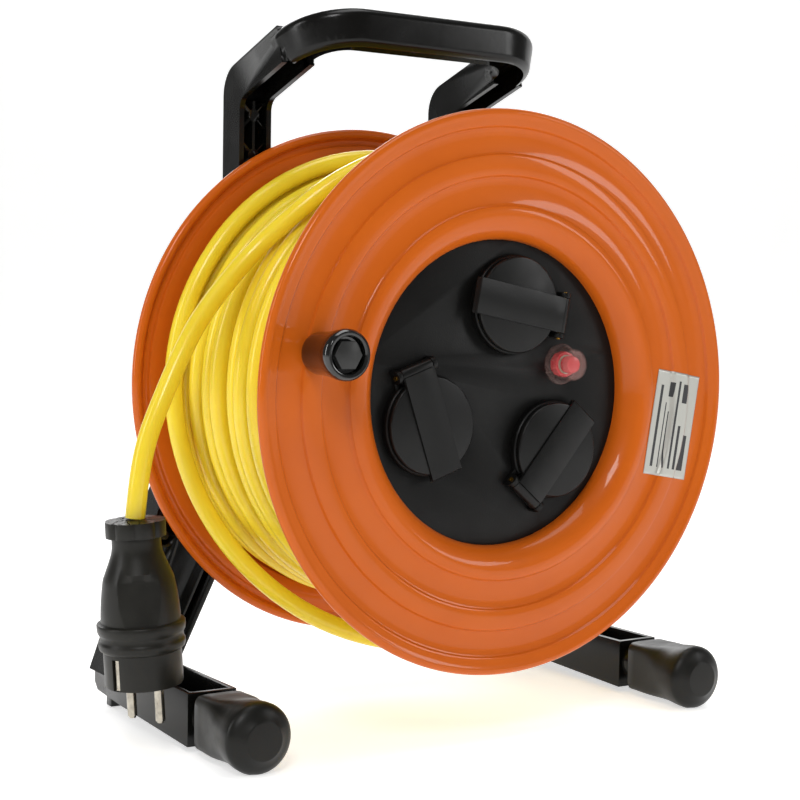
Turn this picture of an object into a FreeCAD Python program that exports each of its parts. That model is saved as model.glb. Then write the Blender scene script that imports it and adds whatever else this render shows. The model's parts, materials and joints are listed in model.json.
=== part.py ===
"""Extension cord reel: a steel drum with three lidded sockets, turning on a moulded carrying frame.

All sketches are drawn about the drum's axle, which runs along Y at X = 0, Z = 0, with the
sockets on the -Y side; every piece is then lifted by the axle's height, so that Z = 0 is the
ground. Sizes are millimetres.
"""
import FreeCAD, Part
import math
import os
import re
import Sketcher

V = FreeCAD.Vector
Rotation = FreeCAD.Rotation

SIZES = [
    # drum
    ("rim_radius", 145, "outer radius of both flanges"),
    ("drum_width", 147, "from ring top to ring top of the two flanges"),
    ("steel", 1, "sheet thickness of flanges and core"),
    ("bead_radius", 2.75, "rolled bead round each rim"),
    ("ring_step", 2, "depth of the pressed steps"),
    ("edge_step", 9.3, "from the rim to the outer step"),
    ("ring_radius", 116.5, "middle of the raised ring"),
    ("ring_width", 11, "width of the raised ring"),
    ("ridge_radius", 92, "crest of the inner ridge"),
    ("ridge_half", 5, "half width of the inner ridge"),
    ("ridge_rise", 1, "ridge crest above the rings"),
    ("core_radius", 92, "drum core the cord is wound on"),
    ("lip_radius", 79.1, "opening for the socket panel"),
    ("panel_recess", 12.2, "panel face below the rings"),
    ("web_recess", 6, "rear flange centre below the rings"),
    ("rivet_circle", 60, "screw circle in the rear flange"),
    # bearing
    ("axle_radius", 6, "axle bolt"),
    ("running_gap", 0.05, "radial clearance of every turning fit"),
    ("piece_gap", 0.3, "clearance between pieces that move past each other"),
    ("bush_wall", 5, "wall of the bearing bush"),
    ("bush_flange", 20, "flange radius of the bearing bush"),
    ("bush_length", 52, "length of the bearing bush"),
    ("washer_thick", 1.5, "axle washers"),
    ("axle_nut_high", 10, "locking nut"),
    ("bolt_flats", 9.5, "half the width over the flats of the axle's bolt and nut"),
    ("head_sunk", 7, "axle bolt's head sunk in the frame's boss"),
    # panel, housing and sockets
    ("panel_thick", 3, "socket panel"),
    ("panel_lap", 6, "panel edge behind the flange's lip"),
    ("housing_deep", 46, "depth of the housing behind the panel"),
    ("housing_wall", 2, "wall of the housing"),
    ("socket_offset", 46.5, "socket centre from the axle"),
    ("first_socket", -10.5, "turn of the first socket, degrees"),
    ("collar_radius", 25.75, "socket collar"),
    ("collar_high", 3.9, "socket collar above the panel"),
    ("bowl_radius", 19.75, "socket bowl"),
    ("bowl_deep", 17.5, "socket bowl, from the collar's top"),
    ("insert_wall", 4, "insert wall behind the panel"),
    ("pin_spacing", 19, "between the two contacts"),
    ("contact_radius", 2.4, "contact bore"),
    # lids
    ("lid_radius", 25, "socket lid"),
    ("lid_thick", 3, "socket lid"),
    ("band_width", 18.4, "raised band across the lid"),
    ("band_high", 0.8, "band above the lid"),
    ("tab_reach", 27.2, "band's finger end from the lid's centre"),
    ("hinge_reach", 29.5, "hinge from the lid's centre"),
    ("hinge_high", 4.8, "hinge axis above the panel"),
    ("barrel_radius", 3.4, "lid's hinge barrel"),
    ("ear_thick", 2.4, "hinge ears"),
    ("ear_radius", 3.4, "hinge ears"),
    ("pin_radius", 1.25, "hinge pin"),
    ("seal_high", 3, "lid seal"),
    # thermal cut-out
    ("breaker_reach", 44, "cut-out from the axle"),
    ("breaker_turn", 19.5, "direction of the cut-out, degrees"),
    ("breaker_neck", 5, "threaded neck"),
    ("boot_radius", 8.3, "clear boot"),
    ("boot_high", 13, "clear boot above the panel"),
    ("button_radius", 4.5, "reset button's head"),
    ("button_travel", 2, "reset button's stroke"),
    # crank knob
    ("knob_reach", 115.8, "knob from the axle"),
    ("knob_turn", 169.4, "direction of the knob, degrees"),
    ("knob_base", 10.3, "knob radius at the flange"),
    ("knob_end", 12.3, "knob radius at its end"),
    ("knob_length", 28, "knob"),
    ("knob_bolt", 3, "knob bolt"),
    ("knob_nut_high", 4.3, "knob's nut and its collar, inside the flange"),
    # frame
    ("ground_gap", 35, "rim above the ground"),
    ("frame_gap", 3.5, "rings to the frame's front"),
    ("frame_deep", 20, "depth of the frame's members"),
    ("frame_wall", 3, "wall of the frame's channels"),
    ("post_outer", 79.5, "outside of the upright posts"),
    ("post_width", 20, "upright posts"),
    ("splay_start", 63, "where the legs begin to splay, above the axle"),
    ("leg_splay", 0.355, "run of a leg's outside for one of fall"),
    ("gusset_root", 38, "inside of the leg, at the axle's height"),
    ("gusset_splay", 0.485, "run of a leg's inside for one of fall"),
    ("boss_radius", 30, "hub boss of the frame"),
    ("handle_rise", 17.3, "slope of the handle's arms, degrees"),
    ("handle_deep", 20, "handle section"),
    ("handle_high", 21, "handle section"),
    ("handle_gap", 34.5, "rim to the underside of the grip"),
    ("grip_back", 7, "grip's middle behind the drum's middle"),
    ("bend_inner", 8, "inner bend of the post into the arm"),
    ("bend_outer", 17, "outer bend of the post into the arm"),
    ("corner_radius", 26, "handle corners, along the middle"),
    # feet
    ("foot_reach", 139, "foot bars from the axle"),
    ("foot_width", 27, "foot bar"),
    ("foot_high", 27, "foot bar at its front"),
    ("foot_clear", 3, "foot bar above the ground, at its front"),
    ("foot_rise", 6, "rise of the bar's underside to its rear"),
    ("heel_half", 8, "half width of the heel under the bar's rear"),
    ("foot_rear", 102.5, "rear end of the foot bars"),
    ("foot_front", -16, "front end of the foot bars' channel"),
    ("seat_high", 21.8, "leg seat above the ground"),
    ("foot_screw", 2, "screws between foot bars and legs"),
    ("screw_head", 4, "their heads"),
    ("screw_spread", 7, "half the distance between the two screws of a leg"),
    ("head_up", 11, "heads of the foot screws, above the bar's underside"),
    ("screw_grip", 14, "depth of the screws in the leg"),
    ("spigot_radius", 11, "foot bar's spigot in the cap"),
    ("cap_radius", 17.7, "foot cap's ball"),
    ("cap_front", -64.6, "middle of the foot cap's ball"),
    ("cap_flat", 0.5, "depth of the flat under the cap"),
    # cord and plug
    ("cord_radius", 5, "supply cord"),
    ("coil_radius", 120.5, "outside of the winding"),
    ("coil_half", 68, "half width of the winding"),
    ("plug_radius", 19.25, "plug's socket end"),
    ("plug_collar", 21.75, "plug's finger collar"),
    ("plug_nut", 15, "plug's gland nut"),
    ("gland_place", 40, "cord gland behind the middle of the drum"),
    ("plug_neck", 12.1, "plug below its nut"),
    ("label_reach", 113, "middle of the rating label from the axle"),
    ("label_wide", 30, "rating label"),
    ("label_high", 57.5, "rating label"),
]
NAMES = {name for name, _, _ in SIZES}

# Formulas that several pieces share.
FACE = "(drum_width / 2)"
PLATEAU = "(drum_width / 2 - ring_step)"
PANEL = "(drum_width / 2 - panel_recess)"
COLLAR = "(drum_width / 2 - panel_recess + collar_high)"
LID = "(drum_width / 2 - panel_recess + collar_high + piece_gap)"
BAND = "(drum_width / 2 - panel_recess + collar_high + piece_gap + lid_thick + band_high)"
HINGE = "(drum_width / 2 - panel_recess + hinge_high)"
HOUSING = "(drum_width / 2 - panel_recess - panel_thick - housing_deep)"
WEB = "(drum_width / 2 - web_recess)"
FRAME = "(drum_width / 2 + frame_gap)"
FRAME_BACK = "(drum_width / 2 + frame_gap + frame_deep)"
GROUND = "(-rim_radius - ground_gap)"
POST = "(post_outer - post_width / 2)"
GRIP = "(rim_radius + handle_gap + handle_high / 2)"
BUSH_FRONT = "(drum_width / 2 + 0.7 - bush_length)"

doc = FreeCAD.newDocument("cord_reel")
sheet = doc.addObject("Spreadsheet::Sheet", "reel")
parts = []


def fill_sheet():
    """Write the driving sizes into the sheet, one row each: note, value."""
    for row, (name, size, note) in enumerate(SIZES, 1):
        sheet.set(f"A{row}", note)
        sheet.set(f"B{row}", str(size))
        sheet.setAlias(f"B{row}", name)
    doc.recompute()


def tie(formula):
    """Point every size that a formula names at its cell."""
    def cell(word):
        return f"reel.{word[0]}" if word[0] in NAMES else word[0]
    return re.sub(r"[a-z][a-z_]*", cell, str(formula))


def value(formula):
    """Work a formula out to a number."""
    return float(sheet.evalExpression(tie(formula)))


def bind(item, **formulas):
    """Tie properties of an object to formulas; two underscores stand for a dot."""
    for name, formula in formulas.items():
        item.setExpression(name.replace("__", "."), tie(formula))


def keep(item):
    """Count an object as a piece, lifted to the axle's height."""
    bind(item, Placement__Base__z="rim_radius + ground_gap")
    parts.append(item)
    return item


def new_body(name, many=False):
    """Start a piece; many lets it hold several separate solids."""
    piece = doc.addObject("PartDesign::Body", name)
    piece.Label = name
    piece.AllowCompound = many
    return keep(piece)


def turn_about_axle(piece, angle):
    """Turn a piece about the drum's axle; angles grow from +X towards +Z."""
    piece.Placement.Rotation = Rotation(V(0, -1, 0), value(angle))
    bind(piece, Placement__Rotation__Angle=angle)


def origin_feature(piece, role):
    """Find one of a body's own origin planes or axes."""
    return next(item for item in piece.Origin.OriginFeatures if item.Role == role)


def new_sketch(piece, plane, offset=("0", "0", "0")):
    """Attach a sketch to one of a body's own planes, moved by offset in the plane's axes."""
    drawing = piece.newObject("Sketcher::SketchObject", f"{piece.Name}_drawing")
    drawing.AttachmentSupport = [(origin_feature(piece, f"{plane}_Plane"), "")]
    drawing.MapMode = "FlatFace"
    bind(drawing, AttachmentOffset__Base__x=offset[0], AttachmentOffset__Base__y=offset[1],
         AttachmentOffset__Base__z=offset[2])
    return drawing


def pin_point(drawing, edge, end, name, formula):
    """Hold one coordinate of a vertex at a formula."""
    number = drawing.addConstraint(Sketcher.Constraint(name, -1, 1, edge, end, value(formula)))
    drawing.setExpression(f"Constraints[{number}]", tie(formula))


def arc_between(start, end, centre):
    """Make the shorter arc, and say which of its ends the start is."""
    first = math.atan2(start[1] - centre[1], start[0] - centre[0])
    last = math.atan2(end[1] - centre[1], end[0] - centre[0])
    turn = (last - first + math.pi) % (2 * math.pi) - math.pi
    circle = Part.Circle(V(*centre, 0), V(0, 0, 1), math.dist(start, centre))
    if turn > 0:
        return Part.ArcOfCircle(circle, first, first + turn), 1
    return Part.ArcOfCircle(circle, last, last - turn), 2


def draw(drawing, corners, closed=True):
    """Draw an outline. A corner is (x, y); four values add the centre of the arc that reaches it."""
    spots = [tuple(value(number) for number in corner) for corner in corners]
    count = len(spots)
    before = None
    for index in range(1, count + 1 if closed else count):
        start, end = spots[index - 1], spots[index % count]
        edge = drawing.GeometryCount
        head = 1
        if len(end) == 4 and index < count:
            curve, head = arc_between(start[:2], end[:2], end[2:])
            drawing.addGeometry(curve)
            pin_point(drawing, edge, 3, "DistanceX", corners[index][2])
            pin_point(drawing, edge, 3, "DistanceY", corners[index][3])
            flat = abs(end[1] - end[3]) > abs(end[0] - end[2])
            way, name = (0, "DistanceX") if flat else (1, "DistanceY")
            pin_point(drawing, edge, 3 - head, name, corners[index][way])
        else:
            drawing.addGeometry(Part.LineSegment(V(*start[:2], 0), V(*end[:2], 0)))
            if index < count:
                pin_point(drawing, edge, 2, "DistanceX", corners[index][0])
                pin_point(drawing, edge, 2, "DistanceY", corners[index][1])
        if before:
            drawing.addConstraint(Sketcher.Constraint("Coincident", before[0], before[1], edge, head))
        else:
            first = (edge, head)
            pin_point(drawing, edge, head, "DistanceX", corners[0][0])
            pin_point(drawing, edge, head, "DistanceY", corners[0][1])
        before = (edge, 3 - head)
    if closed:
        drawing.addConstraint(Sketcher.Constraint("Coincident", *before, *first))


def draw_circle(drawing, across, up, radius):
    """Draw a circle held by its centre and radius."""
    edge = drawing.GeometryCount
    drawing.addGeometry(Part.Circle(V(value(across), value(up), 0), V(0, 0, 1), value(radius)))
    pin_point(drawing, edge, 3, "DistanceX", across)
    pin_point(drawing, edge, 3, "DistanceY", up)
    number = drawing.addConstraint(Sketcher.Constraint("Radius", edge, value(radius)))
    drawing.setExpression(f"Constraints[{number}]", tie(radius))


def extrude(piece, plane, start, end, corners=(), circles=(), cut=False):
    """Pad or pocket an outline between two stations along the plane's axis."""
    station = f"-({end})" if plane == "XZ" else start
    drawing = new_sketch(piece, plane, ("0", "0", station))
    if corners:
        draw(drawing, corners)
    for circle in circles:
        draw_circle(drawing, *circle)
    feature = piece.newObject("PartDesign::Pocket" if cut else "PartDesign::Pad", f"{piece.Name}_feature")
    feature.Profile = drawing
    feature.Reversed = cut
    bind(feature, Length=f"({end}) - ({start})")
    return feature


def turned(piece, corners, axis="Y", at=("0", "0"), cut=False):
    """Turn an outline of (radius, station) about an axis through the point at."""
    flip = axis == "X"
    outline = [(b, a) if flip else (a, b) for a, b in (corner[:2] for corner in corners)]
    outline = [spot + corner[2:] for spot, corner in zip(outline, corners)]
    if axis == "Y":
        drawing = new_sketch(piece, "XY", (at[0], "0", at[1]))
    elif axis == "Z":
        drawing = new_sketch(piece, "XZ", (at[0], "0", f"-({at[1]})"))
    else:
        drawing = new_sketch(piece, "XY", ("0", at[0], at[1]))
    draw(drawing, outline)
    kind = "PartDesign::Groove" if cut else "PartDesign::Revolution"
    feature = piece.newObject(kind, f"{piece.Name}_feature")
    feature.Profile = drawing
    feature.ReferenceAxis = (drawing, ["H_Axis" if flip else "V_Axis"])
    feature.Angle = 360
    return feature


def ring(inner, outer, low, high):
    """Outline of a plain ring or disc."""
    return [(inner, low), (outer, low), (outer, high), (inner, high)]


def box(left, right, low, high):
    """Outline of a rectangle."""
    return [(left, low), (right, low), (right, high), (left, high)]


def thrice(piece, features):
    """Repeat features three times round the drum's axle."""
    doc.recompute()
    pattern = piece.newObject("PartDesign::PolarPattern", f"{piece.Name}_pattern")
    pattern.Originals = features
    pattern.Axis = (origin_feature(piece, "Y_Axis"), [""])
    pattern.Angle = 360
    pattern.Occurrences = 3
    piece.Tip = pattern
    return pattern


def both_sides(piece, features):
    """Mirror features from one side of the reel to the other."""
    doc.recompute()
    mirror = piece.newObject("PartDesign::Mirrored", f"{piece.Name}_mirror")
    mirror.Originals = features
    mirror.MirrorPlane = (origin_feature(piece, "YZ_Plane"), [""])
    piece.Tip = mirror
    return mirror


# ---------------------------------------------------------------- drum


def flange_profile(side, centre):
    """Section of a pressed flange: centre holds the outer and inner skins inside the ridge."""
    bead = "(rim_radius - bead_radius)"
    bead_level = f"({FACE} + ridge_rise - bead_radius)"
    inside, outside = "(ring_radius - ring_width / 2)", "(ring_radius + ring_width / 2)"
    skin = [
        ("ridge_radius - 0.8 * ridge_half", f"{FACE} + 0.4"),
        ("ridge_radius", f"{FACE} + ridge_rise"),
        ("ridge_radius + 0.7 * ridge_half", f"{FACE}"),
        ("ridge_radius + ridge_half", PLATEAU),
        (f"{inside} - 0.9", PLATEAU),
        (f"{inside} + 0.9", FACE),
        (f"{outside} - 0.9", FACE),
        (f"{outside} + 0.9", PLATEAU),
        ("rim_radius - edge_step - 0.8", PLATEAU),
        ("rim_radius - edge_step + 0.8", FACE),
        (f"{bead} - 0.866 * bead_radius", f"{bead_level} + 0.5 * bead_radius"),
        (bead, f"{bead_level} + bead_radius", bead, bead_level),
        (f"{bead} + bead_radius", bead_level, bead, bead_level),
        (bead, f"{bead_level} - bead_radius", bead, bead_level),
        (f"{bead} - 0.951 * bead_radius", f"{bead_level} - 0.309 * bead_radius", bead, bead_level),
        ("rim_radius - edge_step + 1", f"{FACE} - steel"),
        ("rim_radius - edge_step - 0.6", f"{PLATEAU} - steel"),
        (f"{outside} + 0.7", f"{PLATEAU} - steel"),
        (f"{outside} - 1.1", f"{FACE} - steel"),
        (f"{inside} + 1.1", f"{FACE} - steel"),
        (f"{inside} - 0.7", f"{PLATEAU} - steel"),
        ("ridge_radius + ridge_half - 0.4", f"{PLATEAU} - steel"),
        ("ridge_radius + 0.5 * ridge_half", f"{FACE} - steel"),
        ("ridge_radius - 0.6 * ridge_half", f"{FACE} - steel"),
    ]
    outline = centre[0] + skin + centre[1]
    return [tuple(f"{side} * ({size})" if index % 2 else size for index, size in enumerate(corner))
            for corner in outline]


def make_front_flange():
    """Front flange: pressed steel, rolled in to a lip that laps the socket panel."""
    outer = [
        ("lip_radius", PANEL),
        ("lip_radius + 0.6", f"{PANEL} + 0.35 * panel_recess"),
        ("lip_radius + 4", f"{PANEL} + 0.75 * panel_recess"),
    ]
    inner = [
        ("lip_radius + 5", f"{PANEL} + 0.66 * panel_recess"),
        ("lip_radius + 1.7", f"{PANEL} + 0.3 * panel_recess"),
        ("lip_radius + steel", PANEL),
    ]
    piece = new_body("front_flange")
    turned(piece, flange_profile("-1", (outer, inner)))
    knob_hole(piece)


def knob_hole(piece):
    """Hole for the crank knob's bolt."""
    extrude(piece, "XZ", f"-{FACE} - 1", f"-{FACE} + 3 * steel", cut=True,
            circles=[(*knob_place(), "knob_bolt + 0.02")])


def make_rear_flange():
    """Rear flange: the same pressing, closed by a flat centre that holds the bearing."""
    hole = "(axle_radius + running_gap + bush_wall)"
    outer = [(hole, WEB), ("lip_radius + 3", WEB), ("lip_radius + 5", f"{WEB} + 0.5 * web_recess")]
    inner = [
        ("lip_radius + 6", f"{WEB} + 0.4 * web_recess"),
        ("lip_radius + 3.6", f"{WEB} - steel"),
        (hole, f"{WEB} - steel"),
    ]
    piece = new_body("rear_flange")
    turned(piece, flange_profile("1", (outer, inner)))
    holes = extrude(piece, "XZ", f"{WEB} - 3 * steel", f"{WEB} + 1", cut=True,
                    circles=[("0", "rivet_circle", "2.1")])
    thrice(piece, [holes])


def make_drum_core():
    """Core: a rolled steel tube that butts against both flanges, with a hole for the cord gland."""
    piece = new_body("drum_core")
    turned(piece, ring("core_radius - steel", "core_radius", f"-{FACE} + steel", f"{FACE} - steel"))
    extrude(piece, "YZ", "core_radius - 4", "core_radius + 2", cut=True,
            circles=[("gland_place", "0", "7.55")])


def make_drum_screws():
    """Three screws through the rear flange into the posts of the housing."""
    piece = new_body("drum_screws", many=True)
    tip = f"(2 - {HOUSING})"
    thrice(piece, [turned(piece, [
        ("0", tip), ("2", tip), ("2", WEB), ("4", WEB), ("4", f"{WEB} + 1"), ("2.8", f"{WEB} + 2.2"),
        ("0", f"{WEB} + 2.2"),
    ], at=("0", "rivet_circle"))])


# ---------------------------------------------------------------- bearing


def make_bearing():
    """Bush in the rear flange, and the bolt, washers and nut that carry it on the frame."""
    bore = "(axle_radius + running_gap)"
    bush = new_body("bearing_bush")
    turned(bush, [
        (bore, BUSH_FRONT), (f"{bore} + bush_wall", BUSH_FRONT), (f"{bore} + bush_wall", WEB),
        ("bush_flange", WEB), ("bush_flange", f"{WEB} + 3"), (f"{bore} + 6", f"{WEB} + 3"),
        (f"{bore} + 6", f"{FACE} + 0.7"), (bore, f"{FACE} + 0.7"),
    ])
    rear = new_body("rear_washer")
    turned(rear, ring("axle_radius", "14", f"{FACE} + 0.7 + piece_gap", f"{FRAME} - 0.6"))
    front = new_body("front_washer")
    high = f"({BUSH_FRONT} - piece_gap)"
    turned(front, ring("axle_radius", "13", f"{high} - washer_thick", high))
    nut = new_body("axle_nut")
    top = f"({high} - washer_thick)"
    hexagon(nut, f"{top} - axle_nut_high", top, "bolt_flats", "axle_radius")
    bolt = new_body("axle_bolt")
    turned(bolt, ring("0", "axle_radius", f"{top} - axle_nut_high - 2", f"{FRAME_BACK} - head_sunk"))
    hexagon(bolt, f"{FRAME_BACK} - head_sunk", f"{FRAME_BACK} + 0.5", "bolt_flats")


def hexagon(piece, start, end, half_flats, hole=None, at=("0", "0")):
    """A hexagonal head or nut across Y."""
    reach = f"({half_flats} / cos(30))"
    corners = [(f"{at[0]} + {reach} * cos({60 * turn})", f"{at[1]} + {reach} * sin({60 * turn})")
               for turn in range(6)]
    circles = [(at[0], at[1], hole)] if hole else []
    return extrude(piece, "XZ", start, end, corners, circles)


# ---------------------------------------------------------------- sockets


def make_socket_panel():
    """Round front panel with three socket openings and the cut-out's hole."""
    piece = new_body("socket_panel")
    turn_about_axle(piece, "first_socket")
    turned(piece, ring("0", "lip_radius + panel_lap", f"-{PANEL}", f"-{PANEL} + panel_thick"))
    opening = extrude(piece, "XZ", f"-{PANEL} - 1", f"-{PANEL} + panel_thick + 1", cut=True,
                      circles=[("0", "socket_offset", "collar_radius - 1.5")])
    thrice(piece, [opening])
    x, z = breaker_place("(breaker_turn - first_socket)")
    extrude(piece, "XZ", f"-{PANEL} - 1", f"-{PANEL} + panel_thick + 1", cut=True,
            circles=[(x, z, "breaker_neck + running_gap")])


def make_socket_housing():
    """Cup behind the panel, closed at the rear, with three posts for the drum screws."""
    piece = new_body("socket_housing")
    outside = "(lip_radius + panel_lap - 1)"
    front, back = f"(-{PANEL} + panel_thick)", f"-1 * {HOUSING}"
    turned(piece, [
        ("0", f"{back} - housing_wall"), (f"{outside} - housing_wall", f"{back} - housing_wall"),
        (f"{outside} - housing_wall", front), (outside, front), (outside, back), ("0", back),
    ])
    post = turned(piece, ring("2", "6", back, f"{WEB} - steel"), at=("0", "rivet_circle"))
    thrice(piece, [post])
    extrude(piece, "YZ", f"{outside} - 6", f"{outside} + 2", circles=[("-30", "0", "6")], cut=True)


def make_socket_inserts():
    """Three earthed sockets, each with its bowl, contact bores, earth slots and hinge ears."""
    for number in range(3):
        piece = new_body(f"socket_insert_{number + 1}")
        turn_about_axle(piece, f"first_socket + {120 * number}")
        body = "(collar_radius - 1.6)"
        floor = f"(-{COLLAR} + bowl_deep)"
        recess = "(lid_radius - 3)"
        turned(piece, [
            ("0", floor), ("bowl_radius", floor), ("bowl_radius", f"-{PANEL}"), (recess, f"-{PANEL}"),
            (recess, f"-{COLLAR}"), ("collar_radius - 0.6", f"-{COLLAR}"),
            ("collar_radius", f"-{COLLAR} + 0.6"), ("collar_radius", f"-{PANEL}"),
            (body, f"-{PANEL}"), (body, f"{floor} + insert_wall"), ("11", f"{floor} + insert_wall"),
            ("11", f"{floor} + 20"), ("0", f"{floor} + 20"),
        ], at=("0", "socket_offset"))
        half = "pin_spacing / 2"
        bores = [("0", f"socket_offset {side} {half}", "contact_radius + 0.6") for side in "+-"]
        extrude(piece, "XZ", f"{floor} - 1", f"{floor} + 18", circles=bores, cut=True)
        extrude(piece, "XZ", f"{floor} - 1", f"{floor} + 14", cut=True,
                circles=[("0", "socket_offset", "1.5")])
        for side in ("-1", "1"):
            slot = box(f"{side} * bowl_radius - 2", f"{side} * bowl_radius + 2", "socket_offset - 3.5",
                       "socket_offset + 3.5")
            extrude(piece, "XZ", f"-{PANEL} + 1.5", f"{floor} + insert_wall - 1.5", slot, cut=True)
        for side in ("-1", "1"):
            ear = f"(socket_offset + {side} * (band_width / 2 + piece_gap + ear_thick / 2))"
            hinge_ear(piece, f"{ear} - ear_thick / 2", f"{ear} + ear_thick / 2")


def hinge_ear(piece, low, high):
    """One hinge ear: a rounded post on the panel with the pin's bore."""
    top = f"(-{HINGE} - ear_radius)"
    left, right = "(hinge_reach - ear_radius)", "(hinge_reach + ear_radius)"
    centre = ("hinge_reach", f"-{HINGE}")
    extrude(piece, "XY", low, high, box("collar_radius - 3", f"{left} + 1", f"-{PANEL} - 2", f"-{PANEL}"))
    extrude(piece, "XY", low, high, [
        (left, f"-{PANEL}"), (left, f"-{HINGE}"), ("hinge_reach", top, *centre),
        (right, f"-{HINGE}", *centre), (right, f"-{PANEL}"),
    ], circles=[(*centre, "pin_radius")])


def make_socket_fittings():
    """Contacts, earth clips, fixing screws and hinge pins, three sockets' worth in each piece."""
    floor = f"(-{COLLAR} + bowl_deep)"
    contacts = new_body("socket_contacts", many=True)
    turn_about_axle(contacts, "first_socket")
    sleeve = ring("contact_radius", "contact_radius + 0.6", f"{floor} + 1.5", f"{floor} + 18")
    thrice(contacts, [turned(contacts, sleeve, at=("0", f"socket_offset {side} pin_spacing / 2"))
                      for side in "+-"])
    clips = new_body("earth_clips", many=True)
    turn_about_axle(clips, "first_socket")
    blades = []
    for side in ("-1", "1"):
        blade = box(f"{side} * (bowl_radius - 0.6) - 0.4", f"{side} * (bowl_radius - 0.6) + 0.4",
                    "socket_offset - 3", "socket_offset + 3")
        blades.append(extrude(clips, "XZ", f"-{PANEL} + 1.6", f"{floor} + insert_wall - 1.5", blade))
    thrice(clips, blades)
    screws = new_body("socket_screws", many=True)
    turn_about_axle(screws, "first_socket")
    thrice(screws, [turned(screws, [
        ("0", f"{floor} - 2"), ("2", f"{floor} - 2"), ("3", f"{floor} - 1"), ("3", floor),
        ("1.5", floor), ("1.5", f"{floor} + 13"), ("0", f"{floor} + 13"),
    ], at=("0", "socket_offset"))])
    pins = new_body("hinge_pins", many=True)
    turn_about_axle(pins, "first_socket")
    reach = "(band_width / 2 + piece_gap + ear_thick + 0.6)"
    rod = ring("0", "pin_radius", f"socket_offset - {reach}", f"socket_offset + {reach}")
    thrice(pins, [turned(pins, rod, axis="Z", at=("hinge_reach", f"-{HINGE}"))])


def make_lids():
    """Three spring lids, each a disc with a raised band that bends down to a hinge barrel."""
    for number in range(3):
        lid = new_body(f"socket_lid_{number + 1}")
        turn_about_axle(lid, f"first_socket + {120 * number}")
        top = f"({LID} + lid_thick)"
        turned(lid, [
            ("0", f"-{LID}"), ("lid_radius", f"-{LID}"), ("lid_radius", f"-{top} + 0.8"),
            ("lid_radius - 0.8", f"-{top}"), ("0", f"-{top}"),
        ], at=("0", "socket_offset"))
        wide = ("socket_offset - band_width / 2", "socket_offset + band_width / 2")
        extrude(lid, "XY", *wide, [
            ("-tab_reach", f"-{LID}"), ("-tab_reach", f"-{BAND} + 0.8"), ("-tab_reach + 0.8", f"-{BAND}"),
            ("hinge_reach - 5", f"-{BAND}"), ("hinge_reach - 4.6", f"-{LID}"),
        ])
        centre = ("hinge_reach", f"-{HINGE}")
        extrude(lid, "XY", *wide, [
            ("hinge_reach - 6", f"-{LID}"), ("hinge_reach - 5", f"-{BAND}"),
            ("hinge_reach", f"-{HINGE} - barrel_radius"),
            ("hinge_reach + barrel_radius", f"-{HINGE}", *centre),
            ("hinge_reach", f"-{HINGE} + barrel_radius", *centre),
            ("hinge_reach - 0.94 * barrel_radius", f"-{HINGE} + 0.34 * barrel_radius", *centre),
        ])
        extrude(lid, "XY", *wide, circles=[(*centre, "pin_radius + running_gap")], cut=True)
        extrude(lid, "XY", "socket_offset - 3", "socket_offset + 3",
                box("hinge_reach - 2.2", "hinge_reach + 4", f"-{HINGE} - 2.2", f"-{HINGE} + 4"), cut=True)
        seal = new_body(f"lid_seal_{number + 1}")
        turn_about_axle(seal, f"first_socket + {120 * number}")
        turned(seal, ring("bowl_radius + 0.5", "lid_radius - 3.5", f"-{LID}", f"-{LID} + seal_high"),
               at=("0", "socket_offset"))


def make_lid_springs():
    """Three torsion springs on the hinge pins; each coil is a closed ring stack."""
    piece = new_body("lid_springs", many=True)
    turn_about_axle(piece, "first_socket")
    turned_coils = turned(piece, ring("pin_radius + 0.1", "pin_radius + 0.7", "socket_offset - 2.6",
                                      "socket_offset + 2.6"), axis="Z", at=("hinge_reach", f"-{HINGE}"))
    thrice(piece, [turned_coils])


# ---------------------------------------------------------------- thermal cut-out


def breaker_place(turn="breaker_turn"):
    """Centre of the cut-out."""
    return f"(breaker_reach * cos({turn}))", f"(breaker_reach * sin({turn}))"


def make_breaker():
    """Thermal cut-out: its case and neck, nut, clear boot and sprung reset button."""
    at = ("breaker_reach", "0")
    case = new_body("breaker_case")
    turn_about_axle(case, "breaker_turn")
    back = f"(-{PANEL} + panel_thick)"
    extrude(case, "XZ", back, f"{back} + 30",
            box("breaker_reach - 13", "breaker_reach + 13", "-7", "7"))
    neck_top = f"(-{PANEL} - 4.7)"
    turned(case, ring("0", "breaker_neck", neck_top, back), at=at)
    stem_bore = ring("0", "button_radius - 1.3 + running_gap", f"{neck_top} - 1", f"{back} - 1")
    turned(case, stem_bore, at=at, cut=True)
    nut = new_body("breaker_nut")
    turn_about_axle(nut, "breaker_turn")
    turned(nut, [
        ("breaker_neck", neck_top), ("breaker_neck + 1.2", neck_top),
        ("breaker_neck + 1.8", f"{neck_top} + 0.7"), ("breaker_neck + 1.8", f"-{PANEL}"),
        ("breaker_neck", f"-{PANEL}"),
    ], at=at)
    boot = new_body("breaker_boot")
    turn_about_axle(boot, "breaker_turn")
    end = f"(-{PANEL} - boot_high)"
    turned(boot, [
        ("0", end), ("boot_radius - 0.8", end), ("boot_radius", f"{end} + 0.8"),
        ("boot_radius", f"-{PANEL} - 2"), ("boot_radius + 2.5", f"-{PANEL} - 1.4"),
        ("boot_radius + 2.5", f"-{PANEL}"), ("boot_radius - 1.1", f"-{PANEL}"),
        ("boot_radius - 1.1", f"{end} + 1"), ("0", f"{end} + 1"),
    ], at=at)
    button = new_body("reset_button")
    turn_about_axle(button, "breaker_turn")
    head = f"({neck_top} - button_travel - piece_gap)"
    turned(button, [
        ("0", f"{end} + 1.6"), ("button_radius - 0.8", f"{end} + 1.6"), ("button_radius", f"{end} + 2.4"),
        ("button_radius", head), ("button_radius - 1.3", head),
        ("button_radius - 1.3", f"{back} - 1 - button_travel - piece_gap"),
        ("0", f"{back} - 1 - button_travel - piece_gap"),
    ], at=at)


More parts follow.
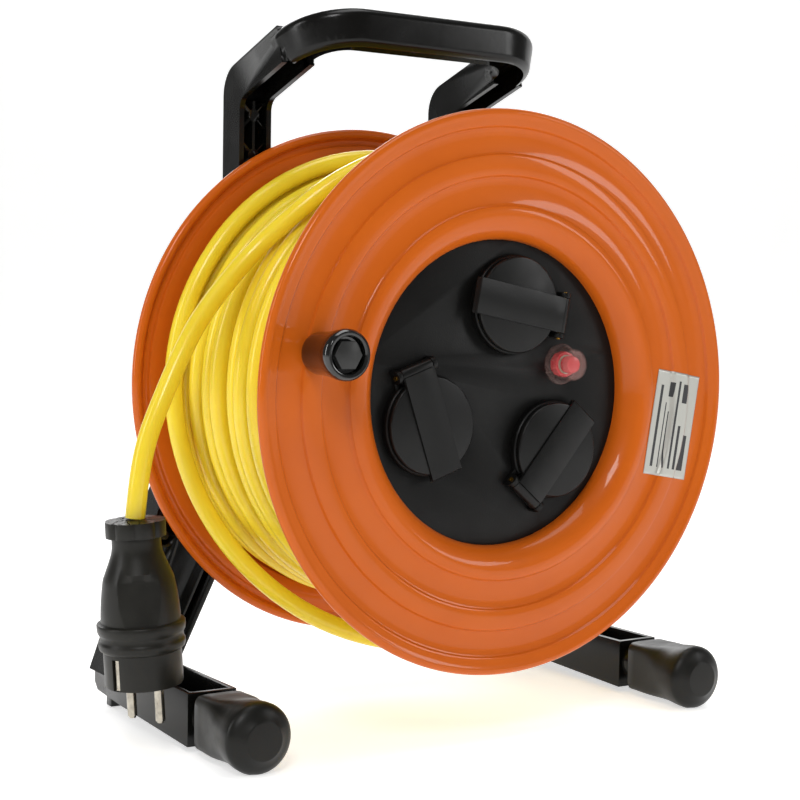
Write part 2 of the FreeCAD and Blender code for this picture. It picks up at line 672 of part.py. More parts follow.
# ---------------------------------------------------------------- crank knob


def knob_place():
    """Centre of the crank knob."""
    return "(knob_reach * cos(knob_turn))", "(knob_reach * sin(knob_turn))"


def make_knob():
    """Crank knob that turns on a bolt fixed through the raised ring."""
    at = knob_place()
    base = f"(-{FACE} - 0.9 - piece_gap)"
    end = f"({base} - knob_length + 0.2)"
    knob = new_body("crank_knob")
    turned(knob, [
        ("knob_bolt + running_gap", base), ("knob_base - 0.8", base), ("knob_base", f"{base} - 0.8"),
        ("knob_base + 0.1 * (knob_end - knob_base)", f"{base} - 0.35 * knob_length"),
        ("knob_base + 0.65 * (knob_end - knob_base)", f"{base} - 0.7 * knob_length"),
        ("knob_end", f"{end} + 0.12 * knob_length"),
        ("knob_end - 0.8", f"{end} + 0.04 * knob_length"), ("knob_end - 2.4", end),
        ("knob_end - 3.6", end), ("knob_end - 3.8", f"{end} + 4.5"),
        ("knob_bolt + running_gap", f"{end} + 4.5"),
    ], at=at)
    washer = new_body("knob_washer")
    turned(washer, ring("knob_bolt", "7", f"-{FACE} - 0.9", f"-{FACE}"), at=at)
    nut = new_body("knob_nut")
    seat = f"(-{FACE} + steel)"
    turned(nut, ring("knob_bolt", "knob_bolt + 0.9", seat, f"{seat} + ring_step + 0.5"), at=at)
    hexagon(nut, f"{seat} + ring_step + 0.5", f"{seat} + knob_nut_high", "knob_bolt + 1.6", "knob_bolt", at)
    bolt = new_body("knob_bolt_piece")
    bolt.Label = "knob_bolt"
    turned(bolt, ring("0", "knob_bolt", f"{end} + 4.2", f"{seat} + knob_nut_high"), at=at)
    hexagon(bolt, f"{end} + 0.4", f"{end} + 4.2", "6.5", at=at)


# ---------------------------------------------------------------- carrying frame


def leg_out(level, inset="0"):
    """A point on a leg's outer edge at a level, moved inwards."""
    return f"-(post_outer + leg_splay * (splay_start - ({level}))) + {inset}", level


def leg_in(level, inset="0"):
    """A point on a leg's inner edge at a level, moved outwards."""
    return f"-(gusset_root - gusset_splay * ({level})) - {inset}", level


def make_carry_frame():
    """One moulding: two ribbed legs joined at the hub boss, posts, arms and the grip."""
    piece = new_body("carry_frame")
    foot = f"({GROUND} + seat_high)"
    bend = "(rim_radius + 8)"
    post_in = "-(post_outer - post_width)"
    extrude(piece, "XZ", FRAME, FRAME_BACK, [
        ("0", "boss_radius"), ("-boss_radius", "boss_radius + 2"), (post_in, "splay_start + 12"),
        (post_in, bend), ("-post_outer", bend), ("-post_outer", "splay_start"), leg_out(foot),
        leg_in(foot), leg_in("-boss_radius - 12"), ("-0.55 * boss_radius", "-boss_radius"),
        ("0", "-boss_radius"),
    ])
    handle_arm(piece)
    leg_channels(piece, foot)
    leg_ribs(piece, foot)
    post_ribs(piece)
    doc.recompute()
    mirror = both_sides(piece, [])
    mirror.TransformMode = "Whole shape"
    turned(piece, ring("0", "boss_radius - 2", f"{FRAME} - 0.6", f"{FRAME_BACK} - 3"))
    extrude(piece, "XZ", f"{FRAME} - 1", f"{FRAME_BACK} + 1", cut=True,
            circles=[("0", "0", "axle_radius + running_gap")])
    extrude(piece, "XZ", f"{FRAME_BACK} - head_sunk", f"{FRAME_BACK} + 1", cut=True,
            circles=[("0", "0", "bolt_flats / cos(30) + 1")])
    holes = [(x, y, "foot_screw + running_gap") for side in ("-1", "1") for x, y in screw_places(side)]
    extrude(piece, "XY", f"{foot} - 1", f"{foot} + screw_grip + piece_gap", circles=holes, cut=True)


def handle_arm(piece):
    """Half of the handle: bent arm, then a rounded section round the corner to the middle."""
    arm_bend(piece)
    path = new_sketch(piece, "XY", ("0", "grip_back", GRIP))
    path.AttachmentOffset.Rotation = Rotation(V(-1, 0, 0), value("handle_rise"))
    bind(path, AttachmentOffset__Rotation__Angle="handle_rise")
    turn = (f"-({POST} - corner_radius)", "corner_radius")
    draw(path, [
        (f"-{POST}", "corner_radius + 6"), (f"-{POST}", "corner_radius"), (turn[0], "0", *turn), ("0", "0"),
    ], closed=False)
    section = grip_section(piece, rounded("handle_deep / 2", "handle_high / 2", "handle_deep / 4"))
    sweep(piece, "PartDesign::AdditivePipe", path, section)
    hollow = grip_section(piece, box("-handle_deep / 2 + frame_wall", "handle_deep / 2 - frame_wall",
                                     "-handle_high / 2 - 1", "handle_high / 2 - frame_wall - 1"))
    sweep(piece, "PartDesign::SubtractivePipe", path, hollow)
    arm_channel(piece)


def grip_section(piece, corners):
    """Section of the grip, drawn square to its path."""
    section = new_sketch(piece, "YZ", ("0", "0", "0"))
    bind(section, AttachmentOffset__Base__x="grip_back", AttachmentOffset__Base__y=GRIP)
    draw(section, corners)
    return section


def sweep(piece, kind, path, section):
    """Add or cut a section along the handle's path."""
    pipe = piece.newObject(kind, f"{piece.Name}_sweep")
    pipe.Profile = section
    pipe.Spine = (path, [f"Edge{number}" for number in (3, 2, 1)])
    pipe.Mode = "Standard"


def rounded(across, up, radius):
    """Outline of a rounded rectangle about the origin."""
    def corner(sx, sy, first):
        mid = (f"{sx} * ({across} - {radius})", f"{sy} * ({up} - {radius})")
        ends = [(f"{sx} * {across}", mid[1]), (mid[0], f"{sy} * {up}")]
        if first:
            ends.reverse()
        return [ends[0], (*ends[1], *mid)]
    return [*corner("1", "-1", True), *corner("1", "1", False), *corner("-1", "1", True),
            *corner("-1", "-1", False)]


def arm_level(station, shift="0"):
    """Level of the arm's middle line at a station along Y, shifted square to it."""
    return f"({GRIP} - ({station} - grip_back) * tan(handle_rise) + ({shift}) / cos(handle_rise))"


def arm_line(shift, along="0"):
    """Point at the front end of the arm's bent part, shifted square to the arm and along it."""
    start = "(grip_back + corner_radius * cos(handle_rise))"
    across = f"{start} + ({shift}) * sin(handle_rise) - ({along}) * cos(handle_rise)"
    return across, arm_level(f"({across})", shift)


def arm_corner(y, shift, radius, first):
    """Two points of a bend between the post's face at y and a line of the arm, with its centre."""
    reach = f"(({radius}) * tan(45 - handle_rise / 2))"
    corner = arm_level(y, shift)
    post = (y, f"{corner} - {reach}")
    arm = (f"{y} - {reach} * cos(handle_rise)", f"{corner} + {reach} * sin(handle_rise)")
    centre = (f"{y} - ({radius})", f"{corner} - {reach}")
    ends = (post, arm) if first else (arm, post)
    return [ends[0], (*ends[1], *centre)]


def arm_bend(piece):
    """Upright post bent forward into the arm, as deep as the frame."""
    half = "handle_high / 2"
    extrude(piece, "YZ", "-post_outer", "-(post_outer - post_width)", [
        (FRAME, "rim_radius"), *arm_corner(FRAME, f"-{half}", "bend_inner", True), arm_line(f"-{half}"),
        arm_line(half), *arm_corner(FRAME_BACK, half, "bend_outer", False), (FRAME_BACK, "rim_radius"),
    ])


def arm_channel(piece):
    """Channel that opens the arm from below and runs into the front of the post."""
    low, high = "-handle_high / 2 - 2", "handle_high / 2 - frame_wall - 1"
    left, right = "-post_outer + frame_wall", "-(post_outer - post_width) - frame_wall"
    back = f"({FRAME_BACK} - frame_wall)"
    extrude(piece, "YZ", left, right, [
        (f"{FRAME} - 10", "splay_start + 4"), (back, "splay_start + 4"),
        *arm_corner(back, high, "(bend_outer - frame_wall)", True), arm_line(high, "2"),
        arm_line(low, "2"), (f"{FRAME} - 10", arm_level(f"({FRAME} - 10)", low)),
    ], cut=True)


def leg_channels(piece, foot):
    """Channels pressed into the leg between its outer wall, its two ribs and its inner edge."""
    depth = f"({FRAME_BACK} - frame_wall)"
    low, high = f"({foot} + frame_wall)", "(splay_start - 2)"
    extrude(piece, "XZ", f"{FRAME} - 1", depth, [
        leg_out(high, "3.2"), leg_out(low, "3.2"), leg_out(low, "17"), leg_out(high, "17"),
    ], cut=True)
    top = "(-boss_radius - 4)"
    extrude(piece, "XZ", f"{FRAME} - 1", depth, [
        leg_in(top, "3.3"), leg_in(low, "3.3"), leg_in(low, "9.4"), leg_in(top, "9.4"),
    ], cut=True)
    extrude(piece, "XZ", f"{FRAME} - 1", f"{depth} - 6", [
        leg_in(top, "11.4"), leg_in(low, "11.4"), leg_out(low, "19"), leg_out(top, "19"),
    ], cut=True)


def leg_ribs(piece, foot):
    """Rings with round bosses, joined by thin ribs, along a leg's outer channel."""
    back = f"({FRAME_BACK} - frame_wall)"
    front = f"({FRAME} + 2)"
    drop = f"((splay_start - {foot}) / 9)"
    for number in range(1, 9):
        level = f"(splay_start - {number} * {drop})"
        x, z = leg_out(level, "10.1")
        extrude(piece, "XZ", front, back, circles=[(x, z, "6.8"), (x, z, "5.4")])
        extrude(piece, "XZ", front, back, circles=[(x, z, "2.6")])
        extrude(piece, "XZ", front, back, box(f"{x} - 8", f"{x} + 8", f"{z} - 0.6", f"{z} + 0.6"))


def post_ribs(piece):
    """Middle rib up the post, with bosses and crossing ribs along it."""
    back = f"({FRAME_BACK} - frame_wall)"
    front = f"({FRAME} + 2)"
    extrude(piece, "XZ", front, back, box(f"-{POST} - 0.8", f"-{POST} + 0.8", "splay_start",
            "rim_radius + 12"))
    half, thick = "7.5", "0.7"
    for number in range(4):
        level = f"(rim_radius + 4 - {number} * 22)"
        extrude(piece, "XZ", front, back, circles=[(f"-{POST}", level, "3.4")])
        for way in ("1", "-1"):
            extrude(piece, "XZ", front, back, [
                (f"-{POST} - {half}", f"{level} - {way} * {half} - {thick}"),
                (f"-{POST} + {half}", f"{level} + {way} * {half} - {thick}"),
                (f"-{POST} + {half}", f"{level} + {way} * {half} + {thick}"),
                (f"-{POST} - {half}", f"{level} - {way} * {half} + {thick}"),
            ])


# ---------------------------------------------------------------- feet


def make_feet():
    """A channel bar with a rubber cap under each leg, and the screws that hold the legs."""
    for name, side in (("left", "-1"), ("right", "1")):
        middle = f"({side} * foot_reach)"
        base = f"({GROUND} + foot_clear)"
        seat = f"({GROUND} + seat_high)"
        left, right = f"({middle} - foot_width / 2)", f"({middle} + foot_width / 2)"
        bar = new_body(f"foot_bar_{name}")
        high = f"({base} + foot_high)"
        extrude(bar, "YZ", left, right, [
            ("foot_front", base), (f"{FRAME} - 10", f"{base} + 0.6 * foot_rise"),
            ("foot_rear - 4", f"{base} + foot_rise"), ("foot_rear", f"{base} + foot_rise + 4"),
            ("foot_rear", high), ("foot_front", high),
        ])
        extrude(bar, "XZ", f"{FRAME} - 1.5", "foot_rear + 1", box(f"{left} - 1", f"{right} + 1", seat,
                f"{high} + 1"), cut=True)
        extrude(bar, "YZ", f"{left} + frame_wall", f"{right} - frame_wall", [
            ("foot_front + frame_wall", f"{base} + frame_wall"),
            (f"{FRAME} - 4.5", f"{base} + frame_wall + 0.65 * foot_rise"),
            (f"{FRAME} - 4.5", f"{high} + 1"), ("foot_front + frame_wall", f"{high} + 1"),
        ], cut=True)
        for station in ("18", "48"):
            extrude(bar, "XZ", station, f"{station} + 2", box(f"{left} + 1", f"{right} - 1",
                    f"{base} + 0.6 * foot_rise", f"{base} + 0.6 * foot_high"))
        extrude(bar, "XZ", "foot_rear - 10.5", "foot_rear - 4",
                box(f"{middle} - heel_half", f"{middle} + heel_half", GROUND, f"{base} + foot_rise + 2"))
        screws = screw_places(side)
        extrude(bar, "XY", f"{base} - 1", f"{base} + head_up", cut=True,
                circles=[(x, y, "screw_head + piece_gap") for x, y in screws])
        extrude(bar, "XY", f"{base} - 1", f"{seat} + 1", cut=True,
                circles=[(x, y, "foot_screw + running_gap") for x, y in screws])
        centre = f"({GROUND} + cap_radius - cap_flat)"
        turned(bar, ring("0", "spigot_radius", "foot_front - 30", "foot_front + 1"), at=(middle, centre))
        cap = new_body(f"foot_cap_{name}")
        nose = "(cap_front - 0.42 * cap_radius)"
        turned(cap, [
            ("0", "foot_front - 6"), ("foot_width / 2 + 0.6", "foot_front - 6"),
            ("0.93 * cap_radius", "0.5 * (foot_front + cap_front)"), ("cap_radius", "cap_front + 8"),
            ("cap_radius", "cap_front"), ("0.86 * cap_radius", "cap_front - 0.24 * cap_radius"),
            ("0.6 * cap_radius", f"{nose} + 1.4"), ("0.3 * cap_radius", nose), ("0", nose),
        ], at=(middle, centre))
        extrude(cap, "XZ", "foot_front - 16", "foot_front", box(left, right, base, high))
        extrude(cap, "XZ", "foot_front - 30.2", "foot_front + 1", cut=True,
                circles=[(middle, centre, "spigot_radius + running_gap")])
        extrude(cap, "XY", f"{GROUND} - 2", GROUND, box(f"{middle} - 20", f"{middle} + 20", "cap_front - 20",
                "foot_front + 1"), cut=True)


def screw_places(side):
    """Centres of the two screws that join a foot bar to its leg."""
    return [(f"{side} * foot_reach + {end} * screw_spread", f"({FRAME} + frame_deep / 2)")
            for end in ("-1", "1")]


def make_foot_screws():
    """Two screws up through each foot bar into the leg."""
    piece = new_body("foot_screws", many=True)
    seat = f"({GROUND} + seat_high)"
    head = f"({GROUND} + foot_clear + head_up)"
    screws = [turned(piece, [
        ("0", f"{head} - 3"), ("screw_head", f"{head} - 3"), ("screw_head", head), ("foot_screw", head),
        ("foot_screw", f"{seat} + screw_grip"), ("0", f"{seat} + screw_grip"),
    ], axis="Z", at=place) for place in screw_places("-1")]
    both_sides(piece, screws)


# ---------------------------------------------------------------- cord and plug


def make_gland():
    """Cord gland in the core, where the winding starts."""
    piece = new_body("cord_gland")
    turned(piece, [
        ("0", "core_radius - 14"), ("9.5", "core_radius - 14"), ("9.5", "core_radius - steel - 1"),
        ("7.5", "core_radius - steel - 1"), ("7.5", "core_radius - 0.4"), ("0", "core_radius - 0.4"),
    ], axis="X", at=("gland_place", "0"))


def make_coil():
    """The wound cord: one closed ring of the winding's outer shape."""
    piece = new_body("cable_coil")
    turned(piece, ring("core_radius + 0.2", "coil_radius", "-coil_half", "coil_half"))


LEAD = [
    (-178.5, -9, -61.5), (-177, -9.5, -42), (-172.5, -9, -22), (-164, -8, -3), (-153.5, -5, 17),
    (-141, -1, 36), (-124, 3.5, 54.5), (-106.5, 3, 73), (-91, -6.5, 90), (-70, -14, 108.5),
    (-42, -20, 122), (-10, -23, 130), (24, -24, 128.5), (57, -22, 117.5), (87, -18, 97.5),
    (110.5, -14, 69), (125.5, -10, 36), (131, -8, 0), (129, -8, -37), (117, -9, -74),
    (92, -10, -107), (55, -10, -131), (14, -8, -141.5), (-27, -2, -138.5), (-63, 9, -126),
    (-91, 23, -105), (-111, 37, -78), (-124, 47, -46.5), (-130, 53, -12), (-127, 56, 25),
    (-114, 56, 59.3), (-91.2, 55.5, 90.6), (-60.5, 54.5, 113.3), (-24.8, 53.5, 126.1), (14, 52, 127.8),
    (50, 50, 118.5), (81, 47, 101), (105.5, 44, 77),
]


def lead_path(points):
    """Straight runs joined by tangent arcs, each as large as its two runs allow."""
    spots = [V(*point) for point in points]
    edges, radii, start = [], [], spots[0]
    for before, here, after in zip(spots, spots[1:], spots[2:]):
        back, ahead = (before - here), (after - here)
        half = (math.pi - back.getAngle(ahead)) / 2
        reach = 0.45 * min(back.Length, ahead.Length)
        radii.append(reach / math.tan(half))
        first = here + back.normalize() * reach
        last = here + ahead.normalize() * reach
        middle = (first + last) / 2
        rise = (here - middle).normalize()
        centre = here - rise * math.hypot(radii[-1], reach)
        edges.append(Part.LineSegment(start, first).toShape())
        edges.append(Part.Arc(first, centre + rise * radii[-1], last).toShape())
        start = last
    edges.append(Part.LineSegment(start, spots[-1]).toShape())
    return Part.Wire(edges), radii


def make_lead():
    """The loose end of the cord, from the winding to the plug."""
    path, radii = lead_path(LEAD)
    radius = value("cord_radius")
    start = LEAD[0]
    heading = V(*LEAD[1]) - V(*start)
    section = Part.Wire([Part.Circle(V(*start), heading, radius).toShape()])
    tube = path.makePipeShell([section], True, False)
    print("lead: length %.0f, tightest bend %.0f, volume ratio %.4f"
          % (path.Length, min(radii), tube.Volume / (math.pi * radius ** 2 * path.Length)))
    piece = doc.addObject("Part::Feature", "cable_lead")
    piece.Shape = tube
    keep(piece)


def place_on_plug(piece):
    """Put a piece of the plug, drawn hanging down from the origin, on the lead's end."""
    x, y, z = LEAD[0]
    tilt = Rotation(V(0, 1, 0), -4) * Rotation(V(0, 0, 1), -67.8)
    piece.Placement = FreeCAD.Placement(V(x, y, z), tilt)
    bind(piece, Placement__Base__z=f"rim_radius + ground_gap + {z}")


def make_plug():
    """Rubber plug: gland nut, body, insulating face, two pins and two earth strips."""
    nut = new_body("plug_nut_piece")
    nut.Label = "plug_gland_nut"
    corners = [(f"plug_nut * cos({36 * turn})", f"plug_nut * sin({36 * turn})") for turn in range(10)]
    extrude(nut, "XY", "-9", "-0.7", corners)
    place_on_plug(nut)
    plug = new_body("plug_body")
    turned(plug, [
        ("0", "-9"), ("plug_neck", "-9"), ("plug_neck", "-14"), ("plug_neck + 1.4", "-19"),
        ("plug_neck + 3", "-24"), ("plug_radius - 2", "-29"), ("plug_radius - 0.5", "-38"),
        ("plug_radius + 0.3", "-50.6"), ("plug_collar", "-51"), ("plug_collar - 0.3", "-55.6"),
        ("plug_collar - 1.2", "-57"), ("plug_collar - 1", "-59.5"), ("plug_collar - 0.4", "-60.4"),
        ("plug_collar - 0.6", "-63.6"), ("plug_radius", "-65"), ("plug_radius", "-82.5"),
        ("plug_radius - 2", "-82.5"), ("plug_radius - 2", "-77.5"), ("0", "-77.5"),
    ], axis="Z")
    for side in ("-1", "1"):
        extrude(plug, "XY", "-83.5", "-66.5", box("-2.2", "2.2", f"{side} * plug_radius - 2.05",
                f"{side} * plug_radius + 2.05"), cut=True)
    place_on_plug(plug)
    face = new_body("plug_face")
    turned(face, ring("0", "plug_radius - 2.1", "-81.9", "-77.5"), axis="Z")
    extrude(face, "XY", "-83", "-77", circles=plug_pin_circles(), cut=True)
    place_on_plug(face)
    pins = new_body("plug_pins", many=True)
    extrude(pins, "XY", "-100", "-77.5", circles=plug_pin_circles())
    extrude(pins, "XY", "-101", "-100", circles=plug_pin_circles("0.7"))
    place_on_plug(pins)
    earth = new_body("plug_earth_strips", many=True)
    for side in ("-1", "1"):
        middle = f"({side} * (plug_radius - 1.65))"
        extrude(earth, "XY", "-82", "-67", box("-1.4", "1.4", f"{middle} - 0.3", f"{middle} + 0.3"))
    place_on_plug(earth)


def plug_pin_circles(less="0"):
    """The two pins' circles."""
    return [(f"{side} * pin_spacing / 2", "0", f"contact_radius - {less}") for side in ("-1", "1")]


def make_label():
    """Blank rating label on the front flange."""
    piece = new_body("rating_label")
    turn_about_axle(piece, "-9.5")
    left, right = "label_reach - label_wide / 2", "label_reach + label_wide / 2"
    extrude(piece, "XZ", f"-{FACE} - 0.35", f"-{FACE}", box(left, right, "-label_high / 2", "label_high / 2"))


def check_and_write():
    """Stop on any failed object, then write one STEP file for each piece."""
    doc.recompute()
    for item in doc.Objects:
        if {"Invalid", "Error"} & set(item.State):
            raise RuntimeError(f"{item.Name} failed: {item.State}")
    os.makedirs("parts", exist_ok=True)
    for piece in parts:
        if piece.Shape.isNull() or not piece.Shape.isValid():
            raise RuntimeError(f"{piece.Label} has no valid shape")
        piece.Shape.exportStep(f"parts/{piece.Label}.step")


fill_sheet()
make_front_flange()
make_rear_flange()
make_drum_core()
make_drum_screws()
make_bearing()
make_socket_panel()
make_socket_housing()
make_socket_inserts()
make_socket_fittings()
make_lids()
make_lid_springs()
make_breaker()
make_knob()
make_carry_frame()
make_feet()
make_foot_screws()
make_gland()
make_coil()
make_lead()
make_plug()
make_label()
check_and_write()
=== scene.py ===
import json
import logging
import math
from dataclasses import dataclass, field
from enum import Enum

import bmesh
import bpy
from mathutils import Matrix, Vector, noise

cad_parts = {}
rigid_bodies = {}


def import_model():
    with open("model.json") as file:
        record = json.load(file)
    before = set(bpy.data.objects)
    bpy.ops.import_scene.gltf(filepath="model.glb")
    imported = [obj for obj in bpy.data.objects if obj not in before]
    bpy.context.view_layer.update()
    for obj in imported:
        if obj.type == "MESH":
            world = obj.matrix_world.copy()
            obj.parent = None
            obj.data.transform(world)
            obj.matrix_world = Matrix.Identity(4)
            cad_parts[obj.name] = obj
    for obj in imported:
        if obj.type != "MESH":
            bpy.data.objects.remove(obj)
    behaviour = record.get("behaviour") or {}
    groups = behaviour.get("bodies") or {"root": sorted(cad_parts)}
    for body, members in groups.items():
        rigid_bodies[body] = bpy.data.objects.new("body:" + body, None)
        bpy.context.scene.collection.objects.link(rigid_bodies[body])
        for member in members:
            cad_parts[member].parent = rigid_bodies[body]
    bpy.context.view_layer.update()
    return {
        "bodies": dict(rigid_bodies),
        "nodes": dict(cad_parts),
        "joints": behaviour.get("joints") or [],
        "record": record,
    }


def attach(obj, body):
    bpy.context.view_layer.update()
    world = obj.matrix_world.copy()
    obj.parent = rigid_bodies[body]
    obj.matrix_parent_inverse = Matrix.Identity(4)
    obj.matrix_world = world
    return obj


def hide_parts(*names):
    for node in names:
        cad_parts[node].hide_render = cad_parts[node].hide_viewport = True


log = logging.getLogger("cord_reel")
MM = 0.001
AXLE_HIGH = 180.0

Point = tuple[float, float, float]
Corner = tuple[float, ...]


# ---------------------------------------------------------------- finishes


def linear(code: str) -> tuple[float, float, float, float]:
    """Turn an sRGB hex colour into linear light.

    Args:
        code: six hex digits after a #.

    Returns:
        Red, green, blue and a full alpha.
    """
    channels = [int(code[index:index + 2], 16) / 255 for index in (1, 3, 5)]
    lit = [part / 12.92 if part <= 0.04045 else ((part + 0.055) / 1.055) ** 2.4 for part in channels]
    return (*lit, 1.0)


def add_node(tree: bpy.types.NodeTree, kind: str, links: dict, **settings) -> bpy.types.Node:
    """Add a shader node, set it up and link it.

    Args:
        tree: the material's node tree.
        kind: the node's type name.
        links: input name or number to the socket that feeds it, or to a plain value.
        settings: attributes of the node itself.

    Returns:
        The new node.
    """
    node = tree.nodes.new(kind)
    for name, setting in settings.items():
        setattr(node, name, setting)
    for name, source in links.items():
        if isinstance(source, bpy.types.NodeSocket):
            tree.links.new(source, node.inputs[name])
        else:
            node.inputs[name].default_value = source
    return node


@dataclass(frozen=True)
class Relief:
    """Fine relief of a surface: grain width and height in millimetres."""

    width: float
    height: float
    detail: float = 2.0


@dataclass(frozen=True)
class Finish:
    """A real material and how its surface was made, as one procedural shader."""

    name: str
    colour: str
    shade: str
    roughness: float
    roughness_swing: float = 0.06
    metallic: float = 0.0
    coat: float = 0.0
    coat_roughness: float = 0.1
    ior: float = 1.5
    specular: float = 0.5
    patch: float = 22.0
    relief: Relief | None = None
    dust: str = ""
    transmission: float = 0.0
    alpha: float = 1.0
    subsurface: float = 0.0

    def build(self) -> bpy.types.Material:
        """Make the material, or return the one already made.

        Returns:
            The material.
        """
        made = bpy.data.materials.get(self.name)
        if made:
            return made
        material = bpy.data.materials.new(self.name)
        material.use_nodes = True
        tree = material.node_tree
        shader = tree.nodes["Principled BSDF"]
        where = add_node(tree, "ShaderNodeTexCoord", {}).outputs["Object"]
        cloud = add_node(tree, "ShaderNodeTexNoise", {
            "Vector": where, "Scale": 1 / (self.patch * MM), "Detail": 3.0, "Roughness": 0.6})
        colour = self.colour_socket(tree, where, cloud)
        tree.links.new(colour, shader.inputs["Base Color"])
        rough = add_node(tree, "ShaderNodeMapRange", {
            "Value": cloud.outputs[0], "From Min": 0.3, "From Max": 0.7,
            "To Min": max(0.02, self.roughness - self.roughness_swing),
            "To Max": self.roughness + self.roughness_swing})
        tree.links.new(rough.outputs[0], shader.inputs["Roughness"])
        shader.inputs["Metallic"].default_value = self.metallic
        shader.inputs["IOR"].default_value = self.ior
        shader.inputs["Specular IOR Level"].default_value = self.specular
        shader.inputs["Coat Weight"].default_value = self.coat
        shader.inputs["Coat Roughness"].default_value = self.coat_roughness
        shader.inputs["Transmission Weight"].default_value = self.transmission
        shader.inputs["Alpha"].default_value = self.alpha
        if self.subsurface:
            shader.inputs["Subsurface Weight"].default_value = self.subsurface
            shader.inputs["Subsurface Scale"].default_value = 2 * MM
        if self.relief:
            tree.links.new(self.relief_socket(tree, where), shader.inputs["Normal"])
        return material

    def colour_socket(self, tree: bpy.types.NodeTree, where: bpy.types.NodeSocket,
                      cloud: bpy.types.Node) -> bpy.types.NodeSocket:
        """Mix the main colour with its shade in soft patches, and scatter dust specks over it.

        Args:
            tree: the material's node tree.
            where: the coordinate socket.
            cloud: the patch noise.

        Returns:
            The colour socket.
        """
        share = add_node(tree, "ShaderNodeMapRange", {
            "Value": cloud.outputs[0], "From Min": 0.35, "From Max": 0.7})
        mixed = add_node(tree, "ShaderNodeMix", {
            0: share.outputs[0], 6: linear(self.colour), 7: linear(self.shade)}, data_type="RGBA")
        if not self.dust:
            return mixed.outputs[2]
        specks = add_node(tree, "ShaderNodeTexNoise", {
            "Vector": where, "Scale": 1 / (1.6 * MM), "Detail": 4.0, "Roughness": 0.75})
        amount = add_node(tree, "ShaderNodeMapRange", {
            "Value": specks.outputs[0], "From Min": 0.62, "From Max": 0.8, "To Max": 0.35})
        dusted = add_node(tree, "ShaderNodeMix", {
            0: amount.outputs[0], 6: mixed.outputs[2], 7: linear(self.dust)}, data_type="RGBA")
        return dusted.outputs[2]

    def relief_socket(self, tree: bpy.types.NodeTree,
                      where: bpy.types.NodeSocket) -> bpy.types.NodeSocket:
        """Turn the fine relief into a normal.

        Args:
            tree: the material's node tree.
            where: the coordinate socket.

        Returns:
            The normal socket.
        """
        grain = add_node(tree, "ShaderNodeTexNoise", {
            "Vector": where, "Scale": 1 / (self.relief.width * MM), "Detail": self.relief.detail})
        bump = add_node(tree, "ShaderNodeBump", {
            "Height": grain.outputs[0], "Strength": 1.0, "Distance": self.relief.height * MM})
        return bump.outputs[0]


# Powder coat on pressed steel: baked, so glossy; its orange-peel waviness is left undrawn.
POWDER_COAT = Finish("powder_coat_orange", "#CE6216", "#C85D13", 0.32, 0.02, coat=0.35,
                     coat_roughness=0.05, specular=0.1, patch=60)
# Injection-moulded polypropylene: black, waxy gloss, faint flow marks.
FRAME_PLASTIC = Finish("moulded_polypropylene_black", "#0B0B09", "#080807", 0.24, 0.05,
                       specular=0.3, patch=35, relief=Relief(2.4, 0.02, 3.0), dust="#3A3935")
# Spark-eroded ABS: an even fine grain, drawn coarser than real so that it shows.
PANEL_PLASTIC = Finish("grained_abs_black", "#0E0E0D", "#0B0B0A", 0.42, 0.06, specular=0.2, patch=18,
                       relief=Relief(0.9, 0.06, 3.0), dust="#34332F")
# Moulded polyamide of the lids: smoother than the panel, with a low sheen.
LID_PLASTIC = Finish("moulded_polyamide_black", "#10100F", "#0D0D0C", 0.34, 0.05, specular=0.25, patch=14,
                     relief=Relief(1.2, 0.02, 3.0))
# Vulcanised rubber: matt, with a bloom of lighter patches.
CAP_RUBBER = Finish("vulcanised_rubber_black", "#11110E", "#151411", 0.4, 0.08, specular=0.28, patch=16,
                    relief=Relief(1.0, 0.03, 4.0), dust="#33322E")
PLUG_RUBBER = Finish("moulded_rubber_plug", "#161511", "#1C1B16", 0.4, 0.06, specular=0.28, patch=13,
                     relief=Relief(1.1, 0.03, 4.0), dust="#3B3A34")
# Extruded plasticised PVC: soft gloss, slightly translucent, faintly wavy from the extruder.
SHEATH = Finish("extruded_pvc_yellow", "#F7DC38", "#F3D42E", 0.3, 0.03, coat=0.35,
                coat_roughness=0.16, specular=0.3, patch=28, subsurface=0.05)
GLOSS_KNOB = Finish("polished_phenolic_black", "#0E0E0D", "#121211", 0.14, 0.04, coat=0.6,
                    coat_roughness=0.05, patch=12)
HEX_PLASTIC = Finish("grey_black_nylon", "#232322", "#1C1C1B", 0.42, 0.05, patch=6)
RED_PLASTIC = Finish("moulded_red_polycarbonate", "#E01428", "#C80E22", 0.24, 0.04, patch=5, coat=0.3)
CLEAR_RUBBER = Finish("clear_silicone", "#C9A29A", "#BE968E", 0.12, 0.02, ior=1.42, patch=9, alpha=0.13)
BRASS = Finish("turned_brass", "#D9A441", "#B98A34", 0.24, 0.06, metallic=1.0, patch=2.5)
NICKEL = Finish("nickel_plated_brass", "#B9B3A6", "#9B958A", 0.22, 0.06, metallic=1.0, patch=4)
ZINC = Finish("zinc_plated_steel", "#B6B5B0", "#8F8E8A", 0.34, 0.08, metallic=1.0, patch=3,
              relief=Relief(0.8, 0.01))
NYLON = Finish("natural_nylon", "#D8D4C6", "#CBC6B6", 0.42, 0.06, patch=8)
PALE_PLASTIC = Finish("urea_resin_pale", "#B9AE97", "#A2977F", 0.45, 0.05, patch=6)
SEAL_RUBBER = Finish("seal_rubber_black", "#141413", "#1B1B1A", 0.6, 0.05, patch=5)


# ---------------------------------------------------------------- meshes


